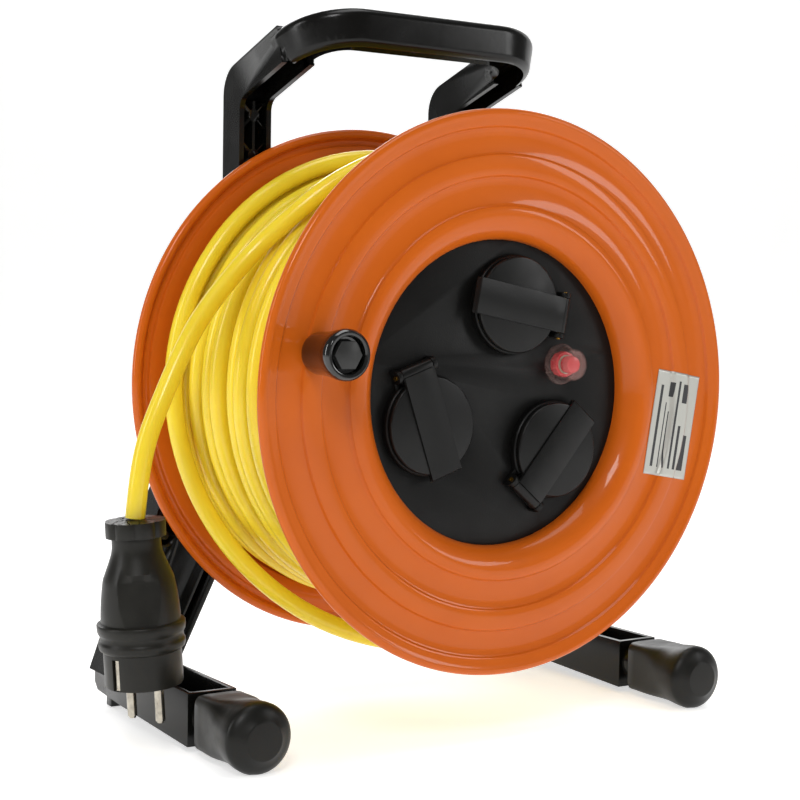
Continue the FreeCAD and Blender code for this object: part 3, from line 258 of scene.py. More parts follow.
class Axis(Enum):
    """The line a turned piece is spun about, and the two directions its outline uses."""

    X = 0
    Y = 1
    Z = 2

    def spot(self, radius: float, station: float) -> Vector:
        """Place an outline corner: radius across the axis, station along it."""
        if self is Axis.X:
            return Vector((station, 0, radius))
        if self is Axis.Y:
            return Vector((radius, station, 0))
        return Vector((radius, 0, station))

    @property
    def line(self) -> Vector:
        """The axis as a unit vector."""
        return Vector([float(index == self.value) for index in range(3)])


class Place:
    """Turns drawing coordinates, in millimetres, into the reel's own frame in metres."""

    @staticmethod
    def axle(turn: float = 0.0) -> Matrix:
        """Drawing frame of the drum: the axle at the origin, turned from +X towards +Z."""
        lift = Matrix.Translation((0, 0, AXLE_HIGH * MM))
        return lift @ Matrix.Rotation(math.radians(turn), 4, (0, -1, 0)) @ Matrix.Scale(MM, 4)

    @staticmethod
    def ground() -> Matrix:
        """Drawing frame that stands on the ground."""
        return Matrix.Scale(MM, 4)


def finish_piece(shape: bmesh.types.BMesh, name: str, place: Matrix, finish: Finish,
                 crease: float = 32.0) -> bpy.types.Object:
    """Turn a worked bmesh into a shaded object with its place in its mesh.

    Args:
        shape: the bmesh, in millimetres; it is freed.
        name: the piece's name.
        place: the drawing frame.
        finish: its material.
        crease: edges sharper than this angle stay sharp.

    Returns:
        The new object.
    """
    bmesh.ops.remove_doubles(shape, verts=shape.verts, dist=1e-4)
    bmesh.ops.recalc_face_normals(shape, faces=shape.faces)
    bmesh.ops.transform(shape, matrix=place, verts=shape.verts)
    mesh = bpy.data.meshes.new(name)
    shape.to_mesh(mesh)
    shape.free()
    mesh.shade_smooth()
    mesh.set_sharp_from_angle(angle=math.radians(crease))
    mesh.materials.append(finish.build())
    piece = bpy.data.objects.new(name, mesh)
    bpy.context.scene.collection.objects.link(piece)
    return piece


def settle(piece: bpy.types.Object, body: str, slot: str, *nodes: str) -> bpy.types.Object:
    """Ride a piece on its body and hide the plain nodes it stands for.

    Args:
        piece: the finished object.
        body: the body that carries it.
        slot: its material slot in the record; not used.
        nodes: the plain nodes it replaces.

    Returns:
        The same object.
    """
    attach(piece, body)
    if nodes:
        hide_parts(*nodes)
    log.info("%s rides on %s", piece.name, body)
    return piece


def soft_edges(shape: bmesh.types.BMesh, edges: list, width: float, segments: int = 3) -> None:
    """Round a set of edges over by a width in millimetres."""
    bmesh.ops.bevel(shape, geom=edges, offset=width, offset_type="OFFSET", segments=segments,
                    profile=0.5, affect="EDGES", clamp_overlap=True, material=-1)


def sharp_edges(shape: bmesh.types.BMesh, angle: float = 28.0) -> list:
    """List the edges whose faces meet at more than an angle."""
    limit = math.radians(angle)
    return [edge for edge in shape.edges
            if len(edge.link_faces) == 2 and edge.calc_face_angle(0.0) > limit]


def spin_outline(shape: bmesh.types.BMesh, outline: list[Corner], axis: Axis, steps: int = 96,
                 closed: bool = True) -> None:
    """Spin an outline of (radius, station, rounding) about an axis through the origin.

    Args:
        shape: the bmesh to add to.
        outline: corners in millimetres; the third value rounds the ring that a corner makes.
        axis: the axis.
        steps: facets round the axis.
        closed: join the last corner to the first.
    """
    spots = [shape.verts.new(axis.spot(corner[0], corner[1])) for corner in outline]
    pairs = list(zip(spots, spots[1:]))
    if closed:
        pairs.append((spots[-1], spots[0]))
    wires = [shape.edges.new(pair) for pair in pairs if (pair[0].co - pair[1].co).length > 1e-6]
    bmesh.ops.spin(shape, geom=spots + wires, cent=(0, 0, 0), axis=axis.line, dvec=(0, 0, 0),
                   angle=math.tau, steps=steps, use_merge=True)
    bmesh.ops.remove_doubles(shape, verts=shape.verts, dist=1e-4)
    for corner in outline:
        if len(corner) > 2 and corner[2] > 0:
            soft_edges(shape, ring_edges(shape, axis, corner[0], corner[1]), corner[2])


def ring_edges(shape: bmesh.types.BMesh, axis: Axis, radius: float, station: float) -> list:
    """List the edges that lie on one circle about an axis."""
    def on_ring(vert: bmesh.types.BMVert) -> bool:
        along = vert.co.dot(axis.line)
        across = (vert.co - axis.line * along).length
        return abs(across - radius) < 1e-3 and abs(along - station) < 1e-3
    return [edge for edge in shape.edges if on_ring(edge.verts[0]) and on_ring(edge.verts[1])]


def turned(name: str, outline: list[Corner], axis: Axis, place: Matrix, finish: Finish,
           steps: int = 96, shift: Point = (0, 0, 0)) -> bpy.types.Object:
    """Make a turned piece.

    Args:
        name: the piece's name.
        outline: corners of (radius, station, rounding) in millimetres.
        axis: the axis it is turned about.
        place: the drawing frame.
        finish: its material.
        steps: facets round the axis.
        shift: where the axis passes, in the drawing frame.

    Returns:
        The new object.
    """
    shape = bmesh.new()
    spin_outline(shape, outline, axis, steps)
    bmesh.ops.translate(shape, vec=shift, verts=shape.verts)
    return finish_piece(shape, name, place, finish)


def slab(shape: bmesh.types.BMesh, outline: list[tuple[float, float]], axis: Axis, low: float,
         high: float) -> list[bmesh.types.BMVert]:
    """Add a prism: an outline drawn across an axis and extruded along it.

    Args:
        shape: the bmesh to add to.
        outline: corners across the axis; X axis takes (y, z), Y axis (x, z), Z axis (x, y).
        axis: the direction of extrusion.
        low: where it starts.
        high: where it ends.

    Returns:
        The new vertices.
    """
    before = set(shape.verts)
    spots = []
    for across, up in outline:
        values = [across, up]
        values.insert(axis.value, low)
        spots.append(shape.verts.new(values))
    face = bmesh.ops.contextual_create(shape, geom=spots)["faces"]
    grown = bmesh.ops.extrude_face_region(shape, geom=face)["geom"]
    moved = [item for item in grown if isinstance(item, bmesh.types.BMVert)]
    bmesh.ops.translate(shape, vec=axis.line * (high - low), verts=moved)
    return [vert for vert in shape.verts if vert not in before]


def softened(node: str, name: str, finish: Finish, width: float, angle: float = 35.0,
             segments: int = 2) -> bpy.types.Object:
    """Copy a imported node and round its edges, for moulded pieces.

    Args:
        node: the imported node.
        name: the new piece's name.
        finish: its material.
        width: rounding in millimetres.
        angle: edges sharper than this are rounded.
        segments: facets of the rounding.

    Returns:
        The new object.
    """
    shape = bmesh.new()
    shape.from_mesh(bpy.data.objects[node].data)
    bmesh.ops.transform(shape, matrix=Matrix.Scale(1 / MM, 4), verts=shape.verts)
    bmesh.ops.remove_doubles(shape, verts=shape.verts, dist=2e-3)
    bmesh.ops.dissolve_limit(shape, angle_limit=math.radians(1.0), verts=shape.verts,
                             edges=shape.edges, use_dissolve_boundaries=False)
    soft_edges(shape, sharp_edges(shape, angle), width, segments)
    return finish_piece(shape, name, Matrix.Scale(MM, 4), finish, 40.0)


def dressed(frame: dict, node: str, finish: Finish) -> None:
    """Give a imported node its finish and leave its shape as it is.

    Args:
        node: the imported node.
        finish: its material.
    """
    piece = frame["nodes"][node]
    piece.data.materials.clear()
    piece.data.materials.append(finish.build())


# ---------------------------------------------------------------- drum


@dataclass
class Flange:
    """A pressed steel disc with a raised ring, an inner ridge and a rolled rim bead.

    Stations are distances from the drum's middle plane; side is -1 for the front.
    """

    side: int
    name: str
    node: str
    inner: list[tuple[float, float]]
    thick: float = 1.0
    bead: tuple[float, float, float] = (142.25, 71.75, 2.75)
    outer: list[tuple[float, float]] = field(default_factory=lambda: [
        (83.1, 70.45), (85.3, 72.6), (88.0, 73.9), (90.0, 74.35), (92.0, 74.5), (94.0, 74.25),
        (95.5, 73.5), (96.1, 72.3), (97.4, 71.5), (109.6, 71.5), (110.6, 71.9), (111.4, 73.1),
        (112.4, 73.5), (120.6, 73.5), (121.6, 73.1), (122.4, 71.9), (123.4, 71.5), (134.4, 71.5),
        (135.3, 71.9), (136.1, 73.1), (137.0, 73.5), (139.2, 73.5)])

    def top_at(self, radius: float) -> float:
        """Find the outer face's station at a radius."""
        track = self.inner + self.outer
        for (low, first), (high, last) in zip(track, track[1:]):
            if low <= radius <= high:
                return first + (last - first) * (radius - low) / max(high - low, 1e-6)
        return track[-1][1]

    def outline(self) -> list[Corner]:
        """Draw the sheet's closed outline: outer face, rim bead, inner face."""
        track = self.inner + self.outer
        middle, station, size = self.bead
        around = [(middle + size * math.cos(math.radians(turn)),
                   station + size * math.sin(math.radians(turn)))
                  for turn in range(118, -181, -14)]
        back = [(radius, high - self.thick) for radius, high in reversed(track)]
        ends = [(138.6, 72.5)]
        return [(radius, self.side * high) for radius, high in track + around + ends + back[1:]]

    def build(self) -> bpy.types.Object:
        """Make the disc."""
        disc = turned(self.name, self.outline(), Axis.Y, Place.axle(), POWDER_COAT, 180)
        return settle(disc, "drum", "drum_paint", self.node)


@dataclass
class RatingLabel:
    """Blank silver label that follows the flange; only rules and blocks are printed on it."""

    flange: Flange
    centre: tuple[float, float] = (113.0, -9.5)
    size: tuple[float, float] = (30.0, 57.5)
    steps: tuple[int, int] = (60, 44)

    def finish(self) -> bpy.types.Material:
        """Make silver film printed with plain rules and blocks."""
        made = bpy.data.materials.new("printed_silver_film")
        made.use_nodes = True
        tree = made.node_tree
        shader = tree.nodes["Principled BSDF"]
        spot = add_node(tree, "ShaderNodeUVMap", {}, uv_map="label").outputs[0]
        parts = add_node(tree, "ShaderNodeSeparateXYZ", {0: spot})
        across, along = parts.outputs[0], parts.outputs[1]
        ink = None
        for low, high, first, last in self.printed():
            block = self.block(tree, across, along, (low, high), (first, last))
            ink = block if ink is None else add_node(tree, "ShaderNodeMath", {
                0: ink, 1: block}, operation="MAXIMUM").outputs[0]
        colour = add_node(tree, "ShaderNodeMix", {
            0: ink, 6: linear("#BDBDB6"), 7: linear("#3A3A3C")}, data_type="RGBA")
        tree.links.new(colour.outputs[2], shader.inputs["Base Color"])
        shader.inputs["Metallic"].default_value = 0.35
        shader.inputs["Roughness"].default_value = 0.32
        return made

    @staticmethod
    def printed() -> list[tuple[float, float, float, float]]:
        """List printed rules and blocks as shares of the label's width and height."""
        rules = [(0.76, 0.9, 0.08, 0.42), (0.6, 0.66, 0.08, 0.5), (0.48, 0.53, 0.08, 0.92)]
        rules += [(0.36, 0.385, 0.08, 0.62), (0.28, 0.305, 0.08, 0.7), (0.12, 0.18, 0.08, 0.86)]
        rules += [(0.6, 0.72, 0.72, 0.9), (0.32, 0.4, 0.76, 0.9)]
        return rules

    @staticmethod
    def block(tree: bpy.types.NodeTree, across: bpy.types.NodeSocket, along: bpy.types.NodeSocket,
              column: tuple[float, float], run: tuple[float, float]) -> bpy.types.NodeSocket:
        """Make a mask that is one inside a column of the width and a run of the height."""
        tests = [(across, column[0], "GREATER_THAN"), (across, column[1], "LESS_THAN"),
                 (along, run[0], "GREATER_THAN"), (along, run[1], "LESS_THAN")]
        mask = None
        for source, limit, way in tests:
            test = add_node(tree, "ShaderNodeMath", {0: source, 1: limit}, operation=way).outputs[0]
            mask = test if mask is None else add_node(tree, "ShaderNodeMath", {
                0: mask, 1: test}, operation="MULTIPLY").outputs[0]
        return mask

    def build(self) -> bpy.types.Object:
        """Lay the label on the flange."""
        shape = bmesh.new()
        bmesh.ops.create_grid(shape, x_segments=self.steps[0], y_segments=self.steps[1], size=0.5)
        layer = shape.loops.layers.uv.new("label")
        for face in shape.faces:
            for loop in face.loops:
                loop[layer].uv = (loop.vert.co.x + 0.5, loop.vert.co.y + 0.5)
        angle = math.radians(self.centre[1])
        out = Vector((math.cos(angle), math.sin(angle)))
        up = Vector((-out.y, out.x))
        for vert in shape.verts:
            spot = out * (self.centre[0] + vert.co.x * self.size[0]) + up * vert.co.y * self.size[1]
            vert.co = (spot.x, -(self.flange.top_at(spot.length) + 0.25), spot.y)
        shape.normal_update()
        bmesh.ops.recalc_face_normals(shape, faces=shape.faces)
        bmesh.ops.solidify(shape, geom=shape.faces[:], thickness=0.15)
        bmesh.ops.recalc_face_normals(shape, faces=shape.faces)
        bmesh.ops.transform(shape, matrix=Place.axle(), verts=shape.verts)
        mesh = bpy.data.meshes.new("printed_label")
        shape.to_mesh(mesh)
        shape.free()
        mesh.shade_smooth()
        mesh.materials.append(self.finish())
        piece = bpy.data.objects.new("printed_label", mesh)
        bpy.context.scene.collection.objects.link(piece)
        return settle(piece, "drum", "label_film", "rating_label")


@dataclass
class Drum:
    """Two flanges on a core, with the bearing through the middle."""

    frame: dict

    def build(self) -> None:
        """Make the flanges and the label, and finish the steel pieces between them."""
        front = Flange(-1, "front_disc", "front_flange",
                       [(79.1, 61.3), (79.15, 63.6), (79.7, 65.6), (81.0, 68.2)])
        rear = Flange(1, "rear_disc", "rear_flange",
                      [(11.05, 67.5), (76.0, 67.5), (79.0, 67.8), (81.4, 68.9)])
        front.build()
        rear.build()
        RatingLabel(front).build()
        dressed(self.frame, "drum_core", POWDER_COAT)
        for node in ("drum_screws", "axle_bolt", "axle_nut", "rear_washer", "front_washer", "knob_nut",
                     "knob_washer", "foot_screws"):
            dressed(self.frame, node, ZINC)
        dressed(self.frame, "bearing_bush", NYLON)
        dressed(self.frame, "cord_gland", NYLON)


# ---------------------------------------------------------------- panel


@dataclass
class SocketSet:
    """One socket of the panel: insert, seal, hinged lid, and the pins and springs of the hinge."""

    number: int
    reach: float = 46.5
    hinge: float = 29.5
    lid_radius: float = 25.0
    band_half: float = 9.2
    low: float = -65.5
    top: float = -68.5
    band: float = -69.3
    block: float = -69.9

    @property
    def place(self) -> Matrix:
        """The drawing frame of this socket: its centre on +Z, its hinge on +X."""
        return Place.axle(-10.5 + 120 * (self.number - 1))

    def build(self) -> None:
        """Make and finish the set."""
        body = f"lid_{self.number}"
        insert = softened(f"socket_insert_{self.number}", f"insert_{self.number}", PANEL_PLASTIC, 0.5)
        settle(insert, "drum", "panel_plastic", f"socket_insert_{self.number}")
        lid = self.build_lid()
        settle(lid, body, "lid_plastic", f"socket_lid_{self.number}")
        seal = turned(f"seal_ring_{self.number}", [
            (20.25, self.low, 0), (20.25, -62.7, 0.3), (20.6, -62.5, 0), (21.2, -62.5, 0.3),
            (21.5, -62.9, 0), (21.5, self.low, 0)], Axis.Y, self.place, SEAL_RUBBER, 72, (0, 0, self.reach))
        settle(seal, body, "seal_rubber", f"lid_seal_{self.number}")

    def build_lid(self) -> bpy.types.Object:
        """Make the lid: disc, raised band over its middle, hinge barrel and finger end."""
        shape = bmesh.new()
        disc = [(0.0, self.low), (self.lid_radius, self.low, 0.4), (self.lid_radius, self.top, 1.3),
                (0.0, self.top)]
        spin_outline(shape, disc, Axis.Y, 96, closed=False)
        bmesh.ops.translate(shape, vec=(0, 0, self.reach), verts=shape.verts)
        self.add_band(shape)
        self.add_barrel(shape)
        return finish_piece(shape, f"hinged_lid_{self.number}", self.place, LID_PLASTIC, 30)

    def add_band(self, shape: bmesh.types.BMesh) -> None:
        """Add the band, which ends in a raised block over the hinge barrel."""
        side = [(-27.2, -66.1), (-26.9, -68.3), (-26.0, self.band), (21.0, self.band), (21.6, self.block),
                (28.6, self.block), (29.6, self.top), (29.6, -66.4), (24.5, -66.4), (-25.6, -67.9),
                (-26.1, -66.1)]
        self.add_bar(shape, side, 0.35)

    def add_bar(self, shape: bmesh.types.BMesh, side: list[tuple[float, float]], rounding: float) -> None:
        """Add a bar as wide as the band, from its outline across the hinge."""
        bar = bmesh.new()
        slab(bar, side, Axis.Z, self.reach - self.band_half, self.reach + self.band_half)
        bmesh.ops.recalc_face_normals(bar, faces=bar.faces)
        soft_edges(bar, sharp_edges(bar, 50), rounding, 2)
        join(shape, bar)

    def add_barrel(self, shape: bmesh.types.BMesh) -> None:
        """Add the hinge barrel and the neck that holds it."""
        barrel = bmesh.new()
        half = self.band_half
        round_bar = [(0.0, -half), (3.4, -half, 0.4), (3.4, half, 0.4), (0.0, half)]
        spin_outline(barrel, round_bar, Axis.Z, 48, closed=False)
        bmesh.ops.translate(barrel, vec=(self.hinge, -66.1, self.reach), verts=barrel.verts)
        join(shape, barrel)
        neck = [(24.0, self.low), (24.0, -68.6), (29.5, -69.0), (29.5, -63.6), (26.4, -65.0)]
        self.add_bar(shape, neck, 0.3)


def join(shape: bmesh.types.BMesh, addition: bmesh.types.BMesh) -> None:
    """Copy one bmesh into another and free it."""
    carrier = bpy.data.meshes.new("carrier")
    addition.to_mesh(carrier)
    addition.free()
    shape.from_mesh(carrier)
    bpy.data.meshes.remove(carrier)


@dataclass
class Breaker:
    """Thermal cut-out: ring nut, clear boot and red reset button."""

    reach: float = 44.0
    turn: float = 19.5
    steps: int = 72

    @property
    def place(self) -> Matrix:
        """Drawing frame with the cut-out on +X."""
        return Place.axle(self.turn)

    def build(self, frame: dict) -> None:
        """Make the three visible pieces and finish the case."""
        shift = (self.reach, 0, 0)
        nut = turned("ring_nut", [(5.1, -61.3, 0), (6.8, -61.3, 0), (6.8, -66.0, 0.5), (5.1, -66.0, 0.2)],
                     Axis.Y, self.place, RED_PLASTIC, 10, shift)
        settle(nut, "drum", "red_plastic", "breaker_nut")
        boot = turned("clear_boot", [
            (7.0, -61.3, 0), (10.8, -61.3, 0.3), (10.8, -62.5, 0.4), (9.0, -63.2, 0.4), (8.3, -64.4, 0),
            (8.25, -73.2, 0.6), (7.3, -74.3, 0.3), (0.0, -74.3, 0), (0.0, -73.5, 0), (7.0, -73.4, 0.3),
            (7.5, -72.8, 0)], Axis.Y, self.place, CLEAR_RUBBER, self.steps, shift)
        settle(boot, "drum", "clear_boot", "breaker_boot")
        button = turned("red_button", [
            (0.0, -67.0, 0), (4.5, -67.0, 0.2), (4.5, -71.6, 0), (4.1, -72.5, 0), (3.2, -72.7, 0),
            (0.0, -72.7, 0)], Axis.Y, self.place, RED_PLASTIC, self.steps, shift)
        settle(button, "button", "red_plastic", "reset_button")
        dressed(frame, "breaker_case", PALE_PLASTIC)


@dataclass
class Panel:
    """The black socket panel and everything set in it."""

    frame: dict

    def build(self) -> None:
        """Make the panel, its sockets and its cut-out."""
        board = softened("socket_panel", "grained_panel", PANEL_PLASTIC, 0.5)
        settle(board, "drum", "panel_plastic", "socket_panel")
        dressed(self.frame, "socket_housing", PANEL_PLASTIC)
        dressed(self.frame, "socket_contacts", BRASS)
        dressed(self.frame, "earth_clips", NICKEL)
        dressed(self.frame, "socket_screws", ZINC)
        dressed(self.frame, "hinge_pins", BRASS)
        dressed(self.frame, "lid_springs", ZINC)
        for number in (1, 2, 3):
            SocketSet(number).build()
        Breaker().build(self.frame)


# ---------------------------------------------------------------- knob and frame


@dataclass
class Knob:
    """Round crank knob on its bolt, with a plastic hexagon in its end."""

    reach: float = 115.8
    turn: float = 169.4

    def build(self) -> None:
        """Make the knob and its hexagon."""
        place = Place.axle(self.turn)
        grip = turned("round_knob", [
            (3.2, -74.7, 0), (10.0, -74.7, 0.5), (10.3, -76.5, 0), (10.4, -80.0, 0), (10.7, -86.0, 0),
            (11.3, -91.5, 0), (12.0, -96.0, 0), (12.3, -98.6, 0), (12.25, -100.4, 0), (11.8, -101.7, 0),
            (11.0, -102.4, 0), (10.0, -102.5, 0), (9.3, -102.3, 0), (8.9, -101.7, 0.1), (8.7, -98.3, 0.2),
            (3.2, -98.2, 0)], Axis.Y, place, GLOSS_KNOB, 96, (self.reach, 0, 0))
        settle(grip, "crank", "knob_plastic", "crank_knob")
        head = softened("knob_bolt", "hexagon_cap", HEX_PLASTIC, 0.4)
        settle(head, "drum", "knob_hex", "knob_bolt")


@dataclass
class Frame:
    """Moulded carrying frame with its two foot bars and rubber caps."""

    frame: dict
    foot_reach: float = 139.0

    def build(self) -> None:
        """Make the frame, the foot bars and the caps."""
        carrier = softened("carry_frame", "moulded_frame", FRAME_PLASTIC, 0.8)
        settle(carrier, "frame", "frame_plastic", "carry_frame")
        for side, name in ((-1, "left"), (1, "right")):
            bar = softened(f"foot_bar_{name}", f"moulded_bar_{name}", FRAME_PLASTIC, 0.7)
            settle(bar, "frame", "frame_plastic", f"foot_bar_{name}")
            self.build_cap(side, name)

    def build_cap(self, side: int, name: str) -> None:
        """Make one rubber foot cap: ball, neck and sleeve, with a flat under it."""
        radius, middle, nose = 17.7, -64.6, -72.0
        profile = [(0.0, nose), (9.5, nose, 0.5)]
        profile += [(radius * math.sin(math.radians(turn)),
                     middle - radius * 0.42 * math.cos(math.radians(turn)))
                    for turn in range(42, 91, 8)]
        profile += [(17.6, -61.0), (17.1, -56.5), (16.4, -52.0), (15.7, -48.0), (15.0, -44.0), (14.5, -40.0),
                    (14.2, -35.0), (14.05, -30.0), (14.0, -24.6), (13.7, -24.1), (13.2, -24.1)]
        shape = bmesh.new()
        spin_outline(shape, profile, Axis.Y, 96, closed=False)
        for vert in shape.verts:
            self.square(vert)
        bmesh.ops.translate(shape, vec=(side * self.foot_reach, 0, 17.0), verts=shape.verts)
        for vert in shape.verts:
            vert.co.z = max(vert.co.z, 0.0)
        cap = finish_piece(shape, f"rubber_cap_{name}", Place.ground(), CAP_RUBBER)
        settle(cap, "frame", "cap_rubber", f"foot_cap_{name}")

    @staticmethod
    def square(vert: bmesh.types.BMVert) -> None:
        """Turn the cap's round section towards the bar's rounded square near the bar."""
        share = min(1.0, max(0.0, (vert.co.y + 54.0) / 16.0))
        power = 2.0 + 5.0 * share * share
        reach = math.hypot(vert.co.x, vert.co.z)
        if reach > 1e-6:
            across, up = abs(vert.co.x) / reach, abs(vert.co.z) / reach
            swell = (across ** power + up ** power) ** (-1 / power)
            vert.co.x *= swell
            vert.co.z *= swell


# ---------------------------------------------------------------- cord and plug


@dataclass
class Cord:
    """Round cord drawn as one smooth open curve."""

    name: str
    points: list[Point]
    diameter: float = 10.0

    def build(self) -> bpy.types.Object:
        """Make the curve with its round section.

        Returns:
            The curve object, its points in metres.
        """
        curve = bpy.data.curves.new(self.name, "CURVE")
        curve.dimensions = "3D"
        curve.bevel_depth = self.diameter / 2 * MM
        curve.bevel_resolution = 5
        curve.use_fill_caps = True
        curve.resolution_u = 5
        line = curve.splines.new("NURBS")
        line.points.add(len(self.points) - 1)
        for knot, (x, y, z) in zip(line.points, self.points):
            knot.co = (x * MM, y * MM, (z + AXLE_HIGH) * MM, 1)
        line.order_u = 3
        line.use_endpoint_u = True
        curve.materials.append(SHEATH.build())
        cord = bpy.data.objects.new(self.name, curve)
        bpy.context.scene.collection.objects.link(cord)
        return cord


@dataclass
class Winding:
    """The wound cord: two hidden layers and an outer one laid by hand, loosely."""

    gland: Point = (86.0, 40.0, -6.0)
    inner_radius: float = 97.5
    layer: float = 9.7
    half: float = 62.3
    slack_turn: float = 25.7
    slack: float = 17.0
    steps: int = 24

    def turn_points(self, radius: tuple[float, float], track: tuple[float, float], turns: float,
                    start: float, waver: float = 0.0) -> list[Point]:
        """Lay turns side by side.

        Args:
            radius: first and last radius of the centre line.
            track: first and last place along the drum.
            turns: number of turns.
            start: angle of the first point in turns.
            waver: how far a hand-laid turn strays sideways.

        Returns:
            The points in millimetres.
        """
        count = int(turns * self.steps)
        points = []
        for step in range(1, count + 1):
            share = step / count
            turn = start + turns * share
            angle = math.tau * turn
            along = track[0] + (track[1] - track[0]) * share
            stray = waver * noise.noise(Vector((1.7 * turn, 3.1, 0.4)))
            stray += 0.6 * waver * noise.noise(Vector((0.35 * turn, 9.7, 2.2)))
            lift = abs(0.45 * waver * noise.noise(Vector((2.3 * turn, 5.5, 7.1))))
            lift += self.slack * math.exp(-((turn - self.slack_turn) / 0.13) ** 2)
            across = (radius[0] + (radius[1] - radius[0]) * share + lift) * 1.0065
            points.append((across * math.cos(angle), along + stray, across * math.sin(angle)))
        return points

    def points(self) -> list[Point]:
        """List the whole winding, from the gland to where the free end leaves it."""
        second, third = self.inner_radius + self.layer, self.inner_radius + 2 * self.layer
        laid = [self.gland, (94.0, 40.0, 12.0), (93.4, 39.5, 30.0)]
        laid += self.turn_points((self.inner_radius, self.inner_radius), (38.0, -self.half), 1.0, 0.04)
        laid += self.turn_points((self.inner_radius, self.inner_radius), (-self.half, self.half), 12.0, 1.04)
        laid += self.turn_points((second, second), (self.half, -self.half), 12.0, 13.04)
        laid += self.turn_points((third, third), (-self.half, self.half), 9.68, 25.04, 7.5)
        laid += self.turn_points((third, 127.5), (self.half, 57.0), 0.14, 34.72)
        laid += self.turn_points((127.5, 129.4), (57.0, 44.0), 0.24, 34.86)
        return laid

    def build(self) -> None:
        cord = settle(Cord("wound_cord", self.points()).build(), "drum", "cord_pvc", "cable_coil")


@dataclass
class Lead:
    """The free end of the cord: over the drum once and a half, then down to the plug."""

    route: list[Point] = field(default_factory=lambda: [
        (-178.5, -9, -61.5), (-177, -9.5, -42), (-172.5, -9, -22), (-164, -8, -3), (-153.5, -5, 17),
        (-141, -1, 36), (-124, 3.5, 54.5), (-106.5, 3, 73), (-91, -6.5, 90), (-70, -14, 108.5),
        (-42, -20, 122), (-10, -23, 130), (24, -24, 128.5), (57, -22, 117.5), (87, -18, 97.5),
        (110.5, -14, 69), (125.5, -10, 36), (131, -8, 0), (129, -8, -37), (117, -9, -74),
        (92, -10, -107), (55, -10, -131), (14, -8, -141.5), (-27, -2, -138.5), (-63, 9, -126),
        (-91, 23, -105), (-111, 37, -78), (-124, 47, -46.5), (-130, 53, -12), (-127, 56, 25),
        (-114, 56, 59.3), (-91.2, 55.5, 90.6), (-60.5, 54.5, 113.3), (-24.8, 53.5, 126.1), (14, 52, 127.8),
        (50, 50, 118.5), (81, 47, 101), (105.5, 44, 77)])

    def build(self, plug: list) -> None:
        """Args:
            plug: the plug's pieces; not used.
        """
        cord = settle(Cord("free_cord", self.route[::-1]).build(), "frame", "cord_pvc", "cable_lead")


